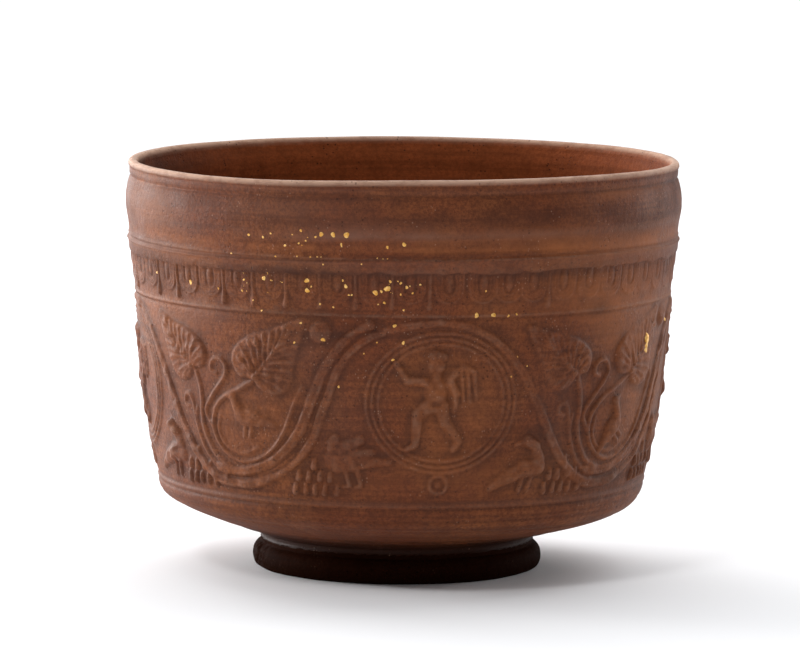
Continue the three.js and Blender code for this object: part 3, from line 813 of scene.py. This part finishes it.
# Dark smudges and orange patches of the slip: middle, half width, half height, strength
SMUDGES = [
    ((-110, 112, 20, 7), 0.5), ((-60, 116, 24, 2.2), 0.8), ((-16, 115.4, 22, 1.2), 0.6),
    ((30, 136, 22, 5), 0.4), ((72, 131, 16, 5), 0.5), ((100, 135, 14, 6), 0.45),
    ((40, 115.6, 30, 1.2), 0.6), ((78, 39, 14, 5), 0.6), ((-75, 60, 9, 6), 0.35),
    ((-28, 48, 16, 6), 0.25), ((110, 42, 14, 6), 0.5), ((-140, 128, 16, 8), 0.3),
    ((200, 130, 40, 10), 0.5), ((-230, 70, 30, 20), 0.4), ((260, 60, 40, 16), 0.4),
    ((-200, 138, 30, 6), 0.5), ((0, 134, 24, 3), 0.3), ((118, 143, 8, 4), 0.5),
    ((-64, 113, 12, 4), 0.5), ((-34, 113, 8, 3), 0.4), ((90.7, 147.6, 1.6, 1.6), 1.0),
    ((62, 101, 5, 2), 0.6), ((-58, 73, 4, 3), 0.4), ((-1.2, 87.5, 3.6, 2.2), 0.5),
    ((-40, 94, 14, 5), 0.35), ((22, 50, 10, 8), 0.2), ((0, 134, 900, 8), 0.25),
    ((0, 113, 70, 7), 0.15),
]
BLUSHES = [
    ((-125, 134, 22, 6), 0.7), ((-90, 118, 26, 5), 0.4), ((20, 129, 50, 4), 0.5),
    ((80, 124, 40, 4), 0.9), ((60, 108, 40, 10), 0.6), ((95, 96, 30, 12), 0.7),
    ((-70, 62, 18, 14), 0.45), ((10, 45, 70, 8), 0.35), ((5, 72, 18, 18), 0.5),
    ((-110, 90, 20, 16), 0.4), ((240, 110, 60, 20), 0.5), ((-250, 100, 50, 20), 0.5),
    ((0, 124.4, 900, 0.9), 0.5), ((92, 70, 26, 22), 0.5), ((70, 142, 26, 2), 0.5),
]
# Greyed, paler stripes and rubbed places
PALES = [
    ((0, 128.9, 900, 1.0), 0.5), ((0, 119.6, 900, 0.8), 0.35), ((-20, 117, 60, 1.5), 0.3),
    ((0, 144.6, 900, 0.7), 0.3), ((-50, 86, 12, 14), 0.25), ((-35, 60, 10, 16), 0.2),
    ((104, 88, 14, 26), 0.35), ((-110, 60, 20, 30), 0.25), ((0, 34, 900, 1.0), 0.3),
    ((-55, 138, 26, 4), 0.35), ((-30, 131, 30, 3), 0.3), ((-90, 100, 14, 5), 0.3),
    ((45, 60, 10, 20), 0.2),
]


def mark_surface(mesh, grid):
    """Stores where the surface lies low or stands proud, and where the slip is stained."""
    x, z, radius = vertex_places(mesh)
    relief = grid[2]
    local = from_grid(grid, relief - softened(relief, 1.1), x, z)
    on_wall = (z > LOWER_LINE) & (z < BAND_BOTTOM) & (radius > wall_radius(z) - 2.5)
    # A limit that runs up through the middle of the wall, and all that lies under the floor
    outside = radius > np.interp(z, [FLOOR_LEVEL, LOWER_LINE, RIM], [60, 85.5, 97.2])
    outside |= z < FLOOR_LEVEL - 0.8
    local = np.where(on_wall, local, 0)
    lines = np.where(outside & (z > FOOT_TOP), turned_lines(z), 0)
    # The lip's crest is lightened for real wear and as a painted highlight of light from above.
    lip = np.clip((z - RIM - rim_sag(x, z) + 2.1) / 1.6, 0, 1)
    # The hollow field later darkens the slip for grime and also as painted shade.
    hollow = np.clip(-local / 0.17, 0, 1) + np.clip(-lines / 0.5, 0, 1)
    crest = np.clip(local / 0.4, 0, 1) + np.clip(lines / 0.3, 0, 1)
    fields = {"hollow": hollow, "crest": crest, "lip": lip}
    for name, spots in (("smudge", SMUDGES), ("blush", BLUSHES), ("pale", PALES)):
        fields[name] = sum(strength * patch(x, z, spot) for spot, strength in spots)
    for name, values in fields.items():
        stored = mesh.attributes.new(name, "FLOAT", "POINT")
        stored.data.foreach_set("value", np.clip(values, 0, 1).astype(np.float32))
    return outside


def assign_clays(mesh, outside):
    """Material 0 is the slip outside, 1 the slip inside and 2 the clay of the foot."""
    corners = np.zeros(len(mesh.polygons) * 3, np.int32)
    mesh.polygons.foreach_get("vertices", corners)
    corners = corners.reshape(-1, 3)
    _, z, _ = vertex_places(mesh)
    is_inside = (~outside[corners]).sum(1) >= 2
    is_foot = (z[corners].mean(1) < FOOT_TOP - 2.2) & ~is_inside
    index = np.where(is_foot, 2, np.where(is_inside, 1, 0)).astype(np.int32)
    mesh.polygons.foreach_set("material_index", index)


# Shader helpers

def add_node(tree, kind, inputs=None, **settings):
    """Adds a node. Inputs are values, or outputs of other nodes, by name or number. The settings
    come first, because a group node has no inputs before it has its group."""
    made = tree.nodes.new(kind)
    for name, value in settings.items():
        setattr(made, name, value)
    for key, value in (inputs or {}).items():
        if isinstance(value, bpy.types.NodeSocket):
            tree.links.new(value, made.inputs[key])
        else:
            made.inputs[key].default_value = value
    return made


def mixed(tree, first, second, amount):
    return add_node(tree, "ShaderNodeMix", {0: amount, 6: first, 7: second}, data_type="RGBA").outputs[2]


def sums(tree, operation, *values):
    return add_node(tree, "ShaderNodeMath", dict(enumerate(values)), operation=operation).outputs[0]


def times(tree, first, second):
    return sums(tree, "MULTIPLY", first, second)


def broken_up(tree, amount, mask, share):
    """The amount, with up to a share of it taken away where the mask is low."""
    return times(tree, amount, sums(tree, "MULTIPLY_ADD", mask, share, 1 - share))


def between(tree, value, low, high, start=0.0, end=1.0):
    """Maps a value smoothly from one range to another."""
    inputs = {"Value": value, "From Min": low, "From Max": high, "To Min": start, "To Max": end}
    return add_node(tree, "ShaderNodeMapRange", inputs, interpolation_type="SMOOTHSTEP").outputs[0]


def noise(tree, place, scale, detail=2.0, roughness=0.5):
    inputs = {"Vector": place, "Scale": scale, "Detail": detail, "Roughness": roughness}
    return add_node(tree, "ShaderNodeTexNoise", inputs).outputs[0]


def cells(tree, place, scale):
    return add_node(tree, "ShaderNodeTexVoronoi", {"Vector": place, "Scale": scale}).outputs[0]


def field(tree, name):
    return add_node(tree, "ShaderNodeAttribute", attribute_name=name).outputs["Fac"]


def object_place(tree):
    return add_node(tree, "ShaderNodeTexCoord").outputs["Object"]


def stretched(tree, place, scale):
    return add_node(tree, "ShaderNodeVectorMath", {0: place, 1: scale}, operation="MULTIPLY").outputs[0]


def socket_kind(is_colour):
    return "NodeSocketColor" if is_colour else "NodeSocketFloat"


def new_group(name, **inputs):
    """A shader group and its inputs, which are name to default. A default of four is a colour."""
    tree = bpy.data.node_groups.new(name, "ShaderNodeTree")
    for label, default in inputs.items():
        kind = socket_kind(isinstance(default, tuple))
        tree.interface.new_socket(label, in_out="INPUT", socket_type=kind).default_value = default
    return tree, tree.nodes.new("NodeGroupInput").outputs


def put_out(tree, **values):
    """Gives a shader group its outputs, each fed by one of its nodes."""
    for label, value in values.items():
        kind = socket_kind(value.type == "RGBA")
        tree.interface.new_socket(label, in_out="OUTPUT", socket_type=kind)
    add_node(tree, "NodeGroupOutput", values)
    return tree


def grain_group():
    """Fired clay's fine grain: a height, dark pits and pale flecks."""
    tree, given = new_group("Clay Grain", Pits=0.5, Flecks=0.5)
    place = object_place(tree)
    coarse = noise(tree, place, 420, 3, 0.6)
    fine = noise(tree, place, 1500, 3, 0.65)
    spots = cells(tree, place, 560)
    some = between(tree, noise(tree, place, 130, 1), 0.5, 0.62)
    dark = times(tree, between(tree, spots, 0.24, 0.08), some)
    dark = times(tree, dark, given["Pits"])
    few = between(tree, noise(tree, stretched(tree, place, (1, 1, 1.7)), 90, 1), 0.56, 0.66)
    flecks = cells(tree, stretched(tree, place, (1.3, 1, 1)), 620)
    pale = times(tree, between(tree, flecks, 0.24, 0.08), few)
    pale = times(tree, pale, given["Flecks"])
    height = sums(tree, "SUBTRACT", sums(tree, "MULTIPLY_ADD", fine, 0.55, coarse), dark)
    return put_out(tree, Height=height, Dark=dark, Pale=pale)


def slip_group():
    """Colour of the slip: cloudy patches, mottling and streaks drawn out by the wheel."""
    tree, given = new_group(
        "Slip Colour", Slip=(0.2, 0.08, 0.05, 1), Deep=(0.08, 0.03, 0.02, 1), Warm=(0.3, 0.1, 0.04, 1),
        Cloud=0.5, Streak=0.5, Speckle=0.3)
    place = object_place(tree)
    clouds = between(tree, noise(tree, place, 22, 4, 0.6), 0.38, 0.68)
    mottle = between(tree, noise(tree, place, 150, 4, 0.65), 0.35, 0.7)
    speckle = between(tree, noise(tree, place, 800, 4, 0.75), 0.4, 0.62)
    streaks = between(tree, noise(tree, stretched(tree, place, (14, 14, 520)), 1, 3, 0.6), 0.42, 0.66)
    colour = mixed(tree, given["Slip"], given["Warm"], times(tree, clouds, given["Cloud"]))
    for mask, amount in ((times(tree, mottle, 0.55), "Cloud"), (streaks, "Streak"), (speckle, "Speckle")):
        colour = mixed(tree, colour, given["Deep"], times(tree, mask, given[amount]))
    return put_out(tree, Color=colour)


def wear_and_shade_group():
    """Broken-up masks of grime and painted shade left in hollows, and of slip rubbed off proud places."""
    tree, given = new_group("Handling Wear", Hollow=0.0, Crest=0.0, Dirt=0.5, Rub=0.5)
    place = object_place(tree)
    broken = between(tree, noise(tree, place, 110, 4, 0.7), 0.3, 0.62)
    flaky = between(tree, noise(tree, place, 260, 4, 0.75), 0.38, 0.6)
    dirt_and_shade = broken_up(tree, times(tree, given["Hollow"], given["Dirt"]), broken, 0.6)
    rub = broken_up(tree, times(tree, given["Crest"], given["Rub"]), flaky, 0.7)
    return put_out(tree, Dirt=dirt_and_shade, Rub=rub)


def group_node(tree, group, **inputs):
    return add_node(tree, "ShaderNodeGroup", inputs, node_tree=group).outputs


def new_material(name):
    material = bpy.data.materials.new(name)
    material.use_nodes = True
    tree = material.node_tree
    return material, tree, tree.nodes["Principled BSDF"]


def rgba(colour, share=1.0):
    return tuple(c * share for c in colour) + (1.0,)


def finish_clay(tree, shader, look, colour, roughness, height, gloss):
    """Feeds the shader. Gloss is a share of the slip's own."""
    tree.links.new(colour, shader.inputs["Base Color"])
    tree.links.new(roughness, shader.inputs["Roughness"])
    shader.inputs["Specular IOR Level"].default_value = look.gloss * gloss
    relief = add_node(tree, "ShaderNodeBump", {"Height": height, "Distance": look.bump, "Strength": 1.0})
    tree.links.new(relief.outputs[0], shader.inputs["Normal"])


# Painted shade darkens the slip between these heights, just above the foot.
PAINTED_SHADE_BOTTOM = 13.0
PAINTED_SHADE_TOP = 20.5


def outer_clay(look, groups):
    """Red-brown slip of the outside, stained; worn and lightened as a painted highlight at the lip; grimy
    and darkened by painted shade in the hollows and just above the foot.
    """
    material, tree, shader = new_material("slip outside")
    slip = group_node(tree, groups["slip"], Slip=rgba(look.slip), Deep=rgba(look.deep),
                      Warm=rgba(look.warm), Cloud=0.8, Streak=0.45, Speckle=0.6)
    grain = group_node(tree, groups["grain"], Pits=0.9, Flecks=0.35)
    wear = group_node(tree, groups["wear"], Hollow=field(tree, "hollow"), Crest=field(tree, "crest"),
                      Dirt=look.dirt_and_shade, Rub=look.rub)
    place = object_place(tree)
    broken = between(tree, noise(tree, place, 60, 4, 0.65), 0.3, 0.65)
    colour = slip["Color"]
    for name, tint, share in (("blush", rgba(look.warm, 1.15), 0.7), ("smudge", rgba(look.deep, 0.7), 0.6),
                              ("pale", rgba(look.grey), 0.6)):
        colour = mixed(tree, colour, tint, broken_up(tree, field(tree, name), broken, share))
    # Grime and painted shade darken the hollows.
    colour = mixed(tree, colour, rgba(look.dirt_and_shade_colour), wear["Dirt"])
    colour = mixed(tree, colour, rgba(look.bare, 0.6), wear["Rub"])
    # Painted shade just above the foot, in the foot's colour, with an uneven upper edge.
    level = add_node(tree, "ShaderNodeSeparateXYZ", {0: place}).outputs[2]
    uneven_level = sums(tree, "MULTIPLY_ADD", broken, 1.5 * MM, level)
    painted_shade_low = between(tree, uneven_level, PAINTED_SHADE_TOP * MM, PAINTED_SHADE_BOTTOM * MM)
    colour = mixed(tree, colour, rgba(look.foot, 1.1), painted_shade_low)
    colour = worn_and_lit_lip(tree, look, place, colour)
    colour = mixed(tree, colour, rgba(look.dirt_and_shade_colour), times(tree, grain["Dark"], 0.5))
    colour = mixed(tree, colour, rgba(look.bare, 1.1), times(tree, grain["Pale"], 0.7))
    rough = sums(tree, "MULTIPLY_ADD", broken, 0.12, look.roughness)
    finish_clay(tree, shader, look, colour, rough, grain["Height"], 1.0)
    shader.inputs["Coat Weight"].default_value = 0.03
    shader.inputs["Coat Roughness"].default_value = 0.36
    return material


def worn_and_lit_lip(tree, look, place, colour):
    """The colour with the slip rubbed off along the crest of the lip, which also lightens the upward-facing
    crest as a painted highlight.
    """
    flaky = between(tree, noise(tree, stretched(tree, place, (1, 1, 3)), 150, 4, 0.7), 0.34, 0.56)
    return mixed(tree, colour, rgba(look.bare), broken_up(tree, field(tree, "lip"), flaky, 0.35))


def inner_clay(look, groups):
    """Deeper red, duller slip of the inside, darkened by painted shade to the left."""
    material, tree, shader = new_material("slip inside")
    slip = group_node(tree, groups["slip"], Slip=rgba(look.inside), Deep=rgba(look.inside, 0.4),
                      Warm=rgba(look.inside, 1.3), Cloud=0.6, Streak=0.35, Speckle=0.4)
    grain = group_node(tree, groups["grain"], Pits=0.9)
    place = object_place(tree)
    across = add_node(tree, "ShaderNodeSeparateXYZ", {0: place}).outputs[0]
    cloudy = noise(tree, place, 26, 4, 0.6)
    to_left = between(tree, sums(tree, "MULTIPLY_ADD", cloudy, 0.05, across), -0.01, -0.07)
    # Painted shade on the left of the inside, where the left light doesn't reach.
    painted_shade_left = times(tree, to_left, between(tree, cloudy, 0.35, 0.6, 0.45, 0.9))
    colour = mixed(tree, slip["Color"], rgba(look.deep, 0.6), painted_shade_left)
    colour = worn_and_lit_lip(tree, look, place, colour)
    colour = mixed(tree, colour, rgba(look.dirt_and_shade_colour), times(tree, grain["Dark"], 0.8))
    rough = sums(tree, "MULTIPLY_ADD", cloudy, 0.1, look.roughness)
    finish_clay(tree, shader, look, colour, rough, grain["Height"], 0.2)
    return material


def foot_clay(look, groups):
    """Dark clay of the foot, partly its own colour and partly painted shade, with more painted shade
    towards the standing edge.
    """
    material, tree, shader = new_material("clay of the foot")
    slip = group_node(tree, groups["slip"], Slip=rgba(look.foot), Deep=rgba(look.foot, 0.3),
                      Warm=rgba(look.foot, 1.3), Cloud=0.6, Streak=0.4, Speckle=0.4)
    grain = group_node(tree, groups["grain"], Pits=1.0, Flecks=0.15)
    place = object_place(tree)
    level = add_node(tree, "ShaderNodeSeparateXYZ", {0: place}).outputs[2]
    # Painted shade that deepens towards the floor.
    shade_to_floor = between(tree, level, FOOT_TOP * MM, 0.001, 0.0, 0.8)
    colour = mixed(tree, slip["Color"], rgba(look.foot, 0.4), shade_to_floor)
    colour = mixed(tree, colour, rgba(look.foot, 0.2), times(tree, grain["Dark"], 0.8))
    colour = mixed(tree, colour, rgba(look.bare, 0.6), times(tree, grain["Pale"], 0.6))
    rough = sums(tree, "MULTIPLY_ADD", noise(tree, place, 80, 3), 0.15, look.roughness)
    finish_clay(tree, shader, look, colour, rough, grain["Height"], 0.04)
    return material


def gold_paint(look):
    """Dull gold of the drops, mottled in two shades."""
    material, tree, shader = new_material("gold drops")
    mottle = between(tree, noise(tree, object_place(tree), 900, 3), 0.35, 0.65)
    colour = mixed(tree, rgba(look.colour), rgba(look.pale), mottle)
    tree.links.new(colour, shader.inputs["Base Color"])
    shader.inputs["Metallic"].default_value = 0.35
    rough = sums(tree, "MULTIPLY_ADD", mottle, 0.15, 0.38)
    tree.links.new(rough, shader.inputs["Roughness"])
    return material


# Gold drops: place on the sheet and radius
GOLD_DROPS = [
    (-67, 128, 0.5), (-61.5, 127.5, 0.5), (-58.5, 129, 0.4), (-53.5, 125, 0.5), (-74.5, 121, 0.4),
    (-57, 121, 0.4), (-47.5, 130.5, 0.5), (-48.5, 126, 0.4), (-46, 127, 0.35), (-42.5, 128.5, 0.5),
    (-40.5, 129.5, 0.85), (-36.5, 129.5, 0.85), (-32, 129.5, 1.1), (-18.5, 125.5, 0.5),
    (-13, 126.5, 0.7), (-117, 110.5, 0.7), (-95.5, 109, 0.8), (-81.5, 108, 0.4), (-70, 112, 0.5),
    (-62, 113, 0.8), (-71, 108, 0.45), (-46, 113, 0.85), (-46, 109.5, 0.85), (-44.5, 111, 0.4),
    (-33.5, 113.5, 0.4), (-32.5, 111.5, 0.65), (-31.5, 108.5, 0.4), (-30.5, 108.5, 0.4),
    (-22.5, 109.5, 0.95), (-20.5, 110, 0.5), (-18.5, 111, 1.1), (-17.5, 113.5, 0.5), (-14, 113, 0.5),
    (-12, 111.5, 0.6), (-14, 109, 0.4), (-10, 109.5, 0.4), (-7.5, 112.5, 0.4), (-41.5, 105, 0.45),
    (-37, 104, 0.4), (-19.5, 106, 0.5), (-13, 103.5, 0.4), (-48.5, 98, 0.45), (-16, 98, 0.7),
    (-13, 92, 0.6), (-16.5, 86, 0.6), (-22, 92, 0.35), (-26.5, 88, 0.35), (-35.5, 76, 0.5),
    (-51, 91, 0.45), (-40.5, 92.5, 0.75), (12, 101.5, 0.85), (18, 101.5, 0.85), (23.5, 101, 0.5),
    (26.5, 101.5, 0.45), (15, 110, 0.4), (25.5, 79.5, 0.35), (27.5, 86.5, 0.35), (31.5, 83, 0.35),
    (-66.5, 105, 0.35), (-63.5, 101.5, 0.4), (-27, 119.5, 0.35), (-40, 119, 0.35),
]
# Splashes of smaller drops: middle, half width, half height and how many
GOLD_SPLASHES = [(-58, 111, 5, 5, 10), (-43, 121.3, 9, 0.3, 5), (-20, 121.7, 2.5, 0.3, 3),
                 (-16, 110, 7, 5, 8), (-70, 112, 3, 4, 4), (-48, 128, 3, 4, 4)]
# Long chips: place on the sheet, radius, and height as a multiple of the width
GOLD_CHIPS = [(91.5, 86.5, 1.7, 2.0), (114, 93, 0.45, 2.0), (-33.8, 126, 0.4, 2.0)]


def gold_places():
    """All drops, big and small, as place on the sheet, radius and tallness."""
    rng = np.random.default_rng(17)
    places = list(GOLD_CHIPS) + [(x, z, size, rng.uniform(0.85, 1.2)) for x, z, size in GOLD_DROPS]
    for x, z, wide, high, count in GOLD_SPLASHES:
        for _ in range(count):
            middle_x, middle_z = x + wide * rng.uniform(-1, 1), z + high * rng.uniform(-1, 1)
            places.append((middle_x, middle_z, rng.uniform(0.15, 0.35), 1.0))
    return places


# Rings of a drop: share of its radius, and share of its height
DROP_RINGS = [(0, 1.0), (0.45, 0.86), (0.8, 0.5), (1.0, 0.0)]
DROP_SIDES = 11
DROP_HEIGHT = 0.32


def gold_mesh(bowl, settings):
    """Thin uneven domes that lie on the bowl's surface."""
    tree = BVHTree.FromPolygons([v.co for v in bowl.vertices], [p.vertices for p in bowl.polygons])
    rng = np.random.default_rng(23)
    points, faces = [], []
    for x, z, size, tall in gold_places():
        phase, skew = rng.uniform(0, 2 * np.pi, 2)
        start = len(points)
        for share, lift in DROP_RINGS:
            for turn in (np.arange(DROP_SIDES) * 2 * np.pi / DROP_SIDES if share else [0]):
                edge = 1 + 0.16 * math.sin(2 * turn + phase) + 0.1 * math.sin(3 * turn + skew)
                reach = share * edge * size * settings.size
                angle = turn_at(x + reach * math.cos(turn))
                out = Vector((math.sin(angle), -math.cos(angle), 0))
                level = z + reach * tall * math.sin(turn)
                hit = tree.ray_cast(out * 0.13 + Vector((0, 0, level * MM)), -out)[0]
                raised = (DROP_HEIGHT * size * settings.size * lift - 0.05) * MM
                points.append(hit + out * raised)
        ring = np.arange(DROP_SIDES)
        after = np.roll(ring, -1)
        faces.append(np.c_[np.full(DROP_SIDES, start), start + 1 + ring, start + 1 + after])
        for k in range(len(DROP_RINGS) - 2):
            low = start + 1 + k * DROP_SIDES
            high = low + DROP_SIDES
            faces.append(np.c_[low + ring, high + ring, high + after])
            faces.append(np.c_[low + ring, high + after, low + after])
    return mesh_from("gold_drops", np.array(points), np.vstack(faces))


# Settings

def colour_setting(name, description, default):
    return FloatVectorProperty(
        name=name, description=description, default=default, subtype="COLOR", size=3, min=0, max=1)


def share_setting(name, description, default, most=1.0):
    return FloatProperty(
        name=name, description=description, default=default, subtype="FACTOR", min=0, max=most)


def light_setting(name, description, default):
    return FloatProperty(name=name, description=description, default=default, min=0, max=200)


class BowlShape(bpy.types.PropertyGroup):
    relief: share_setting("Relief", "Height of the relief, as a share of its drawn height", 1.3, 2.0)
    unevenness: share_setting("Unevenness", "How far the wall sways from a true turned form", 1.0, 2.0)
    most_faces: IntProperty(
        name="Most Faces", description="Triangles that the finished bowl may have",
        default=MOST_FACES, min=20000, max=199000)


class ClayFinish(bpy.types.PropertyGroup):
    slip: colour_setting("Slip", "Main colour of the outside", (0.180, 0.047, 0.0155))
    # Deep also serves as painted shade on the left of the inside.
    deep: colour_setting("Deep", "Colour where the slip is thick or sooty", (0.066, 0.018, 0.008))
    warm: colour_setting("Warm", "Colour where the slip is thin and orange", (0.250, 0.080, 0.026))
    grey: colour_setting("Grey", "Colour of the greyed stripes and rubbed places", (0.180, 0.088, 0.062))
    inside: colour_setting("Inside", "Main colour of the inside", (0.250, 0.062, 0.019))
    # The foot's colour is partly the clay's own and partly painted shade under the bowl.
    foot: colour_setting("Foot", "Main colour of the foot", (0.024, 0.0065, 0.0026))
    bare: colour_setting("Bare", "Colour where the slip is rubbed off", (0.50, 0.31, 0.22))
    # The next two set grime and painted shade in the hollows; the colour also darkens the grain's pits.
    dirt_and_shade_colour: colour_setting("Dirt Colour", "Colour of the dirt in the hollows", (0.030, 0.012, 0.008))
    dirt_and_shade: share_setting("Dirt", "Amount of dirt in the hollows", 0.45)
    rub: share_setting("Rub", "Amount of wear on proud places", 0.2)
    roughness: share_setting("Roughness", "Lowest roughness of the slip", 0.56)
    gloss: share_setting("Gloss", "Strength of the slip's reflections", 0.13)
    bump: FloatProperty(
        name="Grain Depth", description="Depth of the clay's fine grain",
        default=0.0003, min=0, max=0.002, unit="LENGTH", precision=5)


class GoldFinish(bpy.types.PropertyGroup):
    colour: colour_setting("Gold", "Main colour of the drops", (0.66, 0.30, 0.035))
    pale: colour_setting("Pale Gold", "Colour of the drops' lighter parts", (0.85, 0.52, 0.16))
    size: share_setting("Drop Size", "Size of all drops, as a share of their own", 1.0, 3.0)


class StudioSettings(bpy.types.PropertyGroup):
    floor_colour: colour_setting("Floor", "Colour of the pale floor", (0.91, 0.915, 0.93))
    ambient: light_setting("Ambient", "Strength of the pale surroundings", 0.38)
    overhead: light_setting("Overhead", "Strength of the broad light from above", 2.2)
    left: light_setting("Left Light", "Power of the soft light at the left", 26.0)
    right: light_setting("Right Light", "Power of the soft light at the right", 6.5)
    front: light_setting("Front Light", "Power of the small light above the left front", 7.5)
    back: light_setting("Back Light", "Power of the soft light behind the left side", 26.0)
    camera_distance: FloatProperty(
        name="Camera Distance", description="Level distance from the camera to the bowl's axis",
        default=2.0, min=0.5, max=10, unit="LENGTH")
    camera_height: FloatProperty(
        name="Camera Height", description="Height of the camera above the floor",
        default=0.3121, min=0.05, max=3, unit="LENGTH")


PANEL_GROUPS = (("bowl_shape", BowlShape), ("clay_finish", ClayFinish),
                ("gold_finish", GoldFinish), ("studio", StudioSettings))


def link(name, mesh):
    piece = bpy.data.objects.new(name, mesh)
    bpy.context.scene.collection.objects.link(piece)
    return piece


class BuildBowl(bpy.types.Operator):
    """Build the bowl with its moulded relief and clay finish"""
    bl_idname = "clay_bowl.build_bowl"
    bl_label = "Build Bowl"

    def execute(self, context):
        shape = context.scene.bowl_shape
        look = context.scene.clay_finish
        points, triangles, grid = bowl_surface(shape)
        mesh = thinned(mesh_from("bowl_clay", points, triangles), shape.most_faces)
        mesh.name = "bowl_clay"
        kept_inside(mesh)
        outside = mark_surface(mesh, grid)
        groups = {"grain": grain_group(), "slip": slip_group(), "wear": wear_and_shade_group()}
        for make in (outer_clay, inner_clay, foot_clay):
            mesh.materials.append(make(look, groups))
        assign_clays(mesh, outside)
        mesh.shade_smooth()
        piece = link("moulded_bowl", mesh)
        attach(piece, "root")
        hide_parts("bowl")
        return {"FINISHED"}


class BuildDrops(bpy.types.Operator):
    """Lay the gold drops on the bowl"""
    bl_idname = "clay_bowl.build_drops"
    bl_label = "Build Gold Drops"

    def execute(self, context):
        look = context.scene.gold_finish
        mesh = gold_mesh(bpy.data.objects["moulded_bowl"].data, look)
        mesh.materials.append(gold_paint(look))
        mesh.shade_smooth()
        piece = link("gold_spatter", mesh)
        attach(piece, "root")
        return {"FINISHED"}


class BuildStage(bpy.types.Operator):
    """Set the floor, the lights and the camera"""
    bl_idname = "clay_bowl.build_stage"
    bl_label = "Build Stage"

    def execute(self, context):
        studio = context.scene.studio
        build_floor(studio)
        build_lights(studio)
        build_camera(studio)
        return {"FINISHED"}


# Half the width of the floor
FLOOR_REACH = 1.6


def build_floor(studio):
    corners = np.array([(-1, -1, 0), (1, -1, 0), (1, 1, 0), (-1, 1, 0)])
    mesh = mesh_from("floor", corners * FLOOR_REACH, np.array([(0, 1, 2), (0, 2, 3)]))
    material, tree, shader = new_material("pale floor")
    shader.inputs["Base Color"].default_value = rgba(studio.floor_colour)
    shader.inputs["Roughness"].default_value = 0.9
    shader.inputs["Specular IOR Level"].default_value = 0.1
    mesh.materials.append(material)
    link("floor", mesh)


# Lights: their kind, place and size. The size of the broad one from above is an angle.
LIGHTS = (
    ("overhead", "SUN", (0.25, 0.85, 1.15), math.radians(80)),
    ("left", "AREA", (-1.4, 0.75, 0.3), 0.5),
    ("front", "AREA", (-0.8, -1.1, 1.3), 0.35),
    ("right", "AREA", (1.4, 0.6, 0.3), 0.5),
    ("back", "AREA", (-0.9, 1.6, 0.5), 1.2),
)
LIT_PLACE = Vector((0, 0, 0.08))


def build_lights(studio):
    for name, kind, place, size in LIGHTS:
        data = bpy.data.lights.new(name, kind)
        data.energy = getattr(studio, name)
        setattr(data, "angle" if kind == "SUN" else "size", size)
        lamp = link(name, data)
        lamp.location = place
        lamp.rotation_mode = "QUATERNION"
        lamp.rotation_quaternion = (LIT_PLACE - Vector(place)).to_track_quat("-Z", "Y")
    world = bpy.data.worlds.new("surroundings")
    bpy.context.scene.world = world
    world.use_nodes = True
    tree = world.node_tree
    seen = add_node(tree, "ShaderNodeLightPath").outputs["Is Camera Ray"]
    strength = between(tree, seen, 0.0, 1.0, studio.ambient, 1.1)
    tree.links.new(strength, tree.nodes["Background"].inputs["Strength"])
    tree.nodes["Background"].inputs["Color"].default_value = (0.96, 0.98, 1, 1)
    bpy.context.scene.view_settings.view_transform = "Standard"


# The camera stands a little to the left of the front medallion, as in the picture.
CAMERA_TURN = math.radians(-8)
CAMERA_PITCH = math.radians(6.493)
CAMERA_ROLL = math.radians(0.5)
CAMERA_LENS = 249.1
AXIS_OFFSET = 0.0009


def build_camera(studio):
    data = bpy.data.cameras.new("camera")
    data.lens = CAMERA_LENS
    data.sensor_width = 36
    data.clip_end = 100
    camera = link("camera", data)
    ahead = Vector((-math.sin(CAMERA_TURN), math.cos(CAMERA_TURN), 0))
    right = Vector((ahead.y, -ahead.x, 0))
    place = -ahead * studio.camera_distance - right * AXIS_OFFSET + Vector((0, 0, studio.camera_height))
    look = ahead * math.cos(CAMERA_PITCH) - Vector((0, 0, math.sin(CAMERA_PITCH)))
    camera.location = place
    camera.rotation_mode = "QUATERNION"
    camera.rotation_quaternion = look.to_track_quat("-Z", "Y") @ Quaternion((0, 0, 1), CAMERA_ROLL)
    bpy.context.scene.camera = camera


class ClayBowlPanel(bpy.types.Panel):
    """Lists the bowl's settings and the steps that build it"""
    bl_idname = "VIEW3D_PT_clay_bowl"
    bl_label = "Clay Bowl"
    bl_space_type = "VIEW_3D"
    bl_region_type = "UI"
    bl_category = "Clay Bowl"

    def draw(self, context):
        for name, group in PANEL_GROUPS:
            box = self.layout.box()
            for label in group.__annotations__:
                box.prop(getattr(context.scene, name), label)
        for step in (BuildBowl, BuildDrops, BuildStage):
            self.layout.operator(step.bl_idname)


CLASSES = (BowlShape, ClayFinish, GoldFinish, StudioSettings, BuildBowl, BuildDrops, BuildStage,
           ClayBowlPanel)


def register():
    for made in CLASSES:
        bpy.utils.register_class(made)
    for name, group in PANEL_GROUPS:
        setattr(bpy.types.Scene, name, PointerProperty(type=group))


def unregister():
    for name, _ in PANEL_GROUPS:
        delattr(bpy.types.Scene, name)
    for made in reversed(CLASSES):
        bpy.utils.unregister_class(made)


def main():
    register()
    bpy.ops.clay_bowl.build_stage()
    bpy.ops.clay_bowl.build_bowl()
    bpy.ops.clay_bowl.build_drops()


if __name__ == "__main__":
    main()
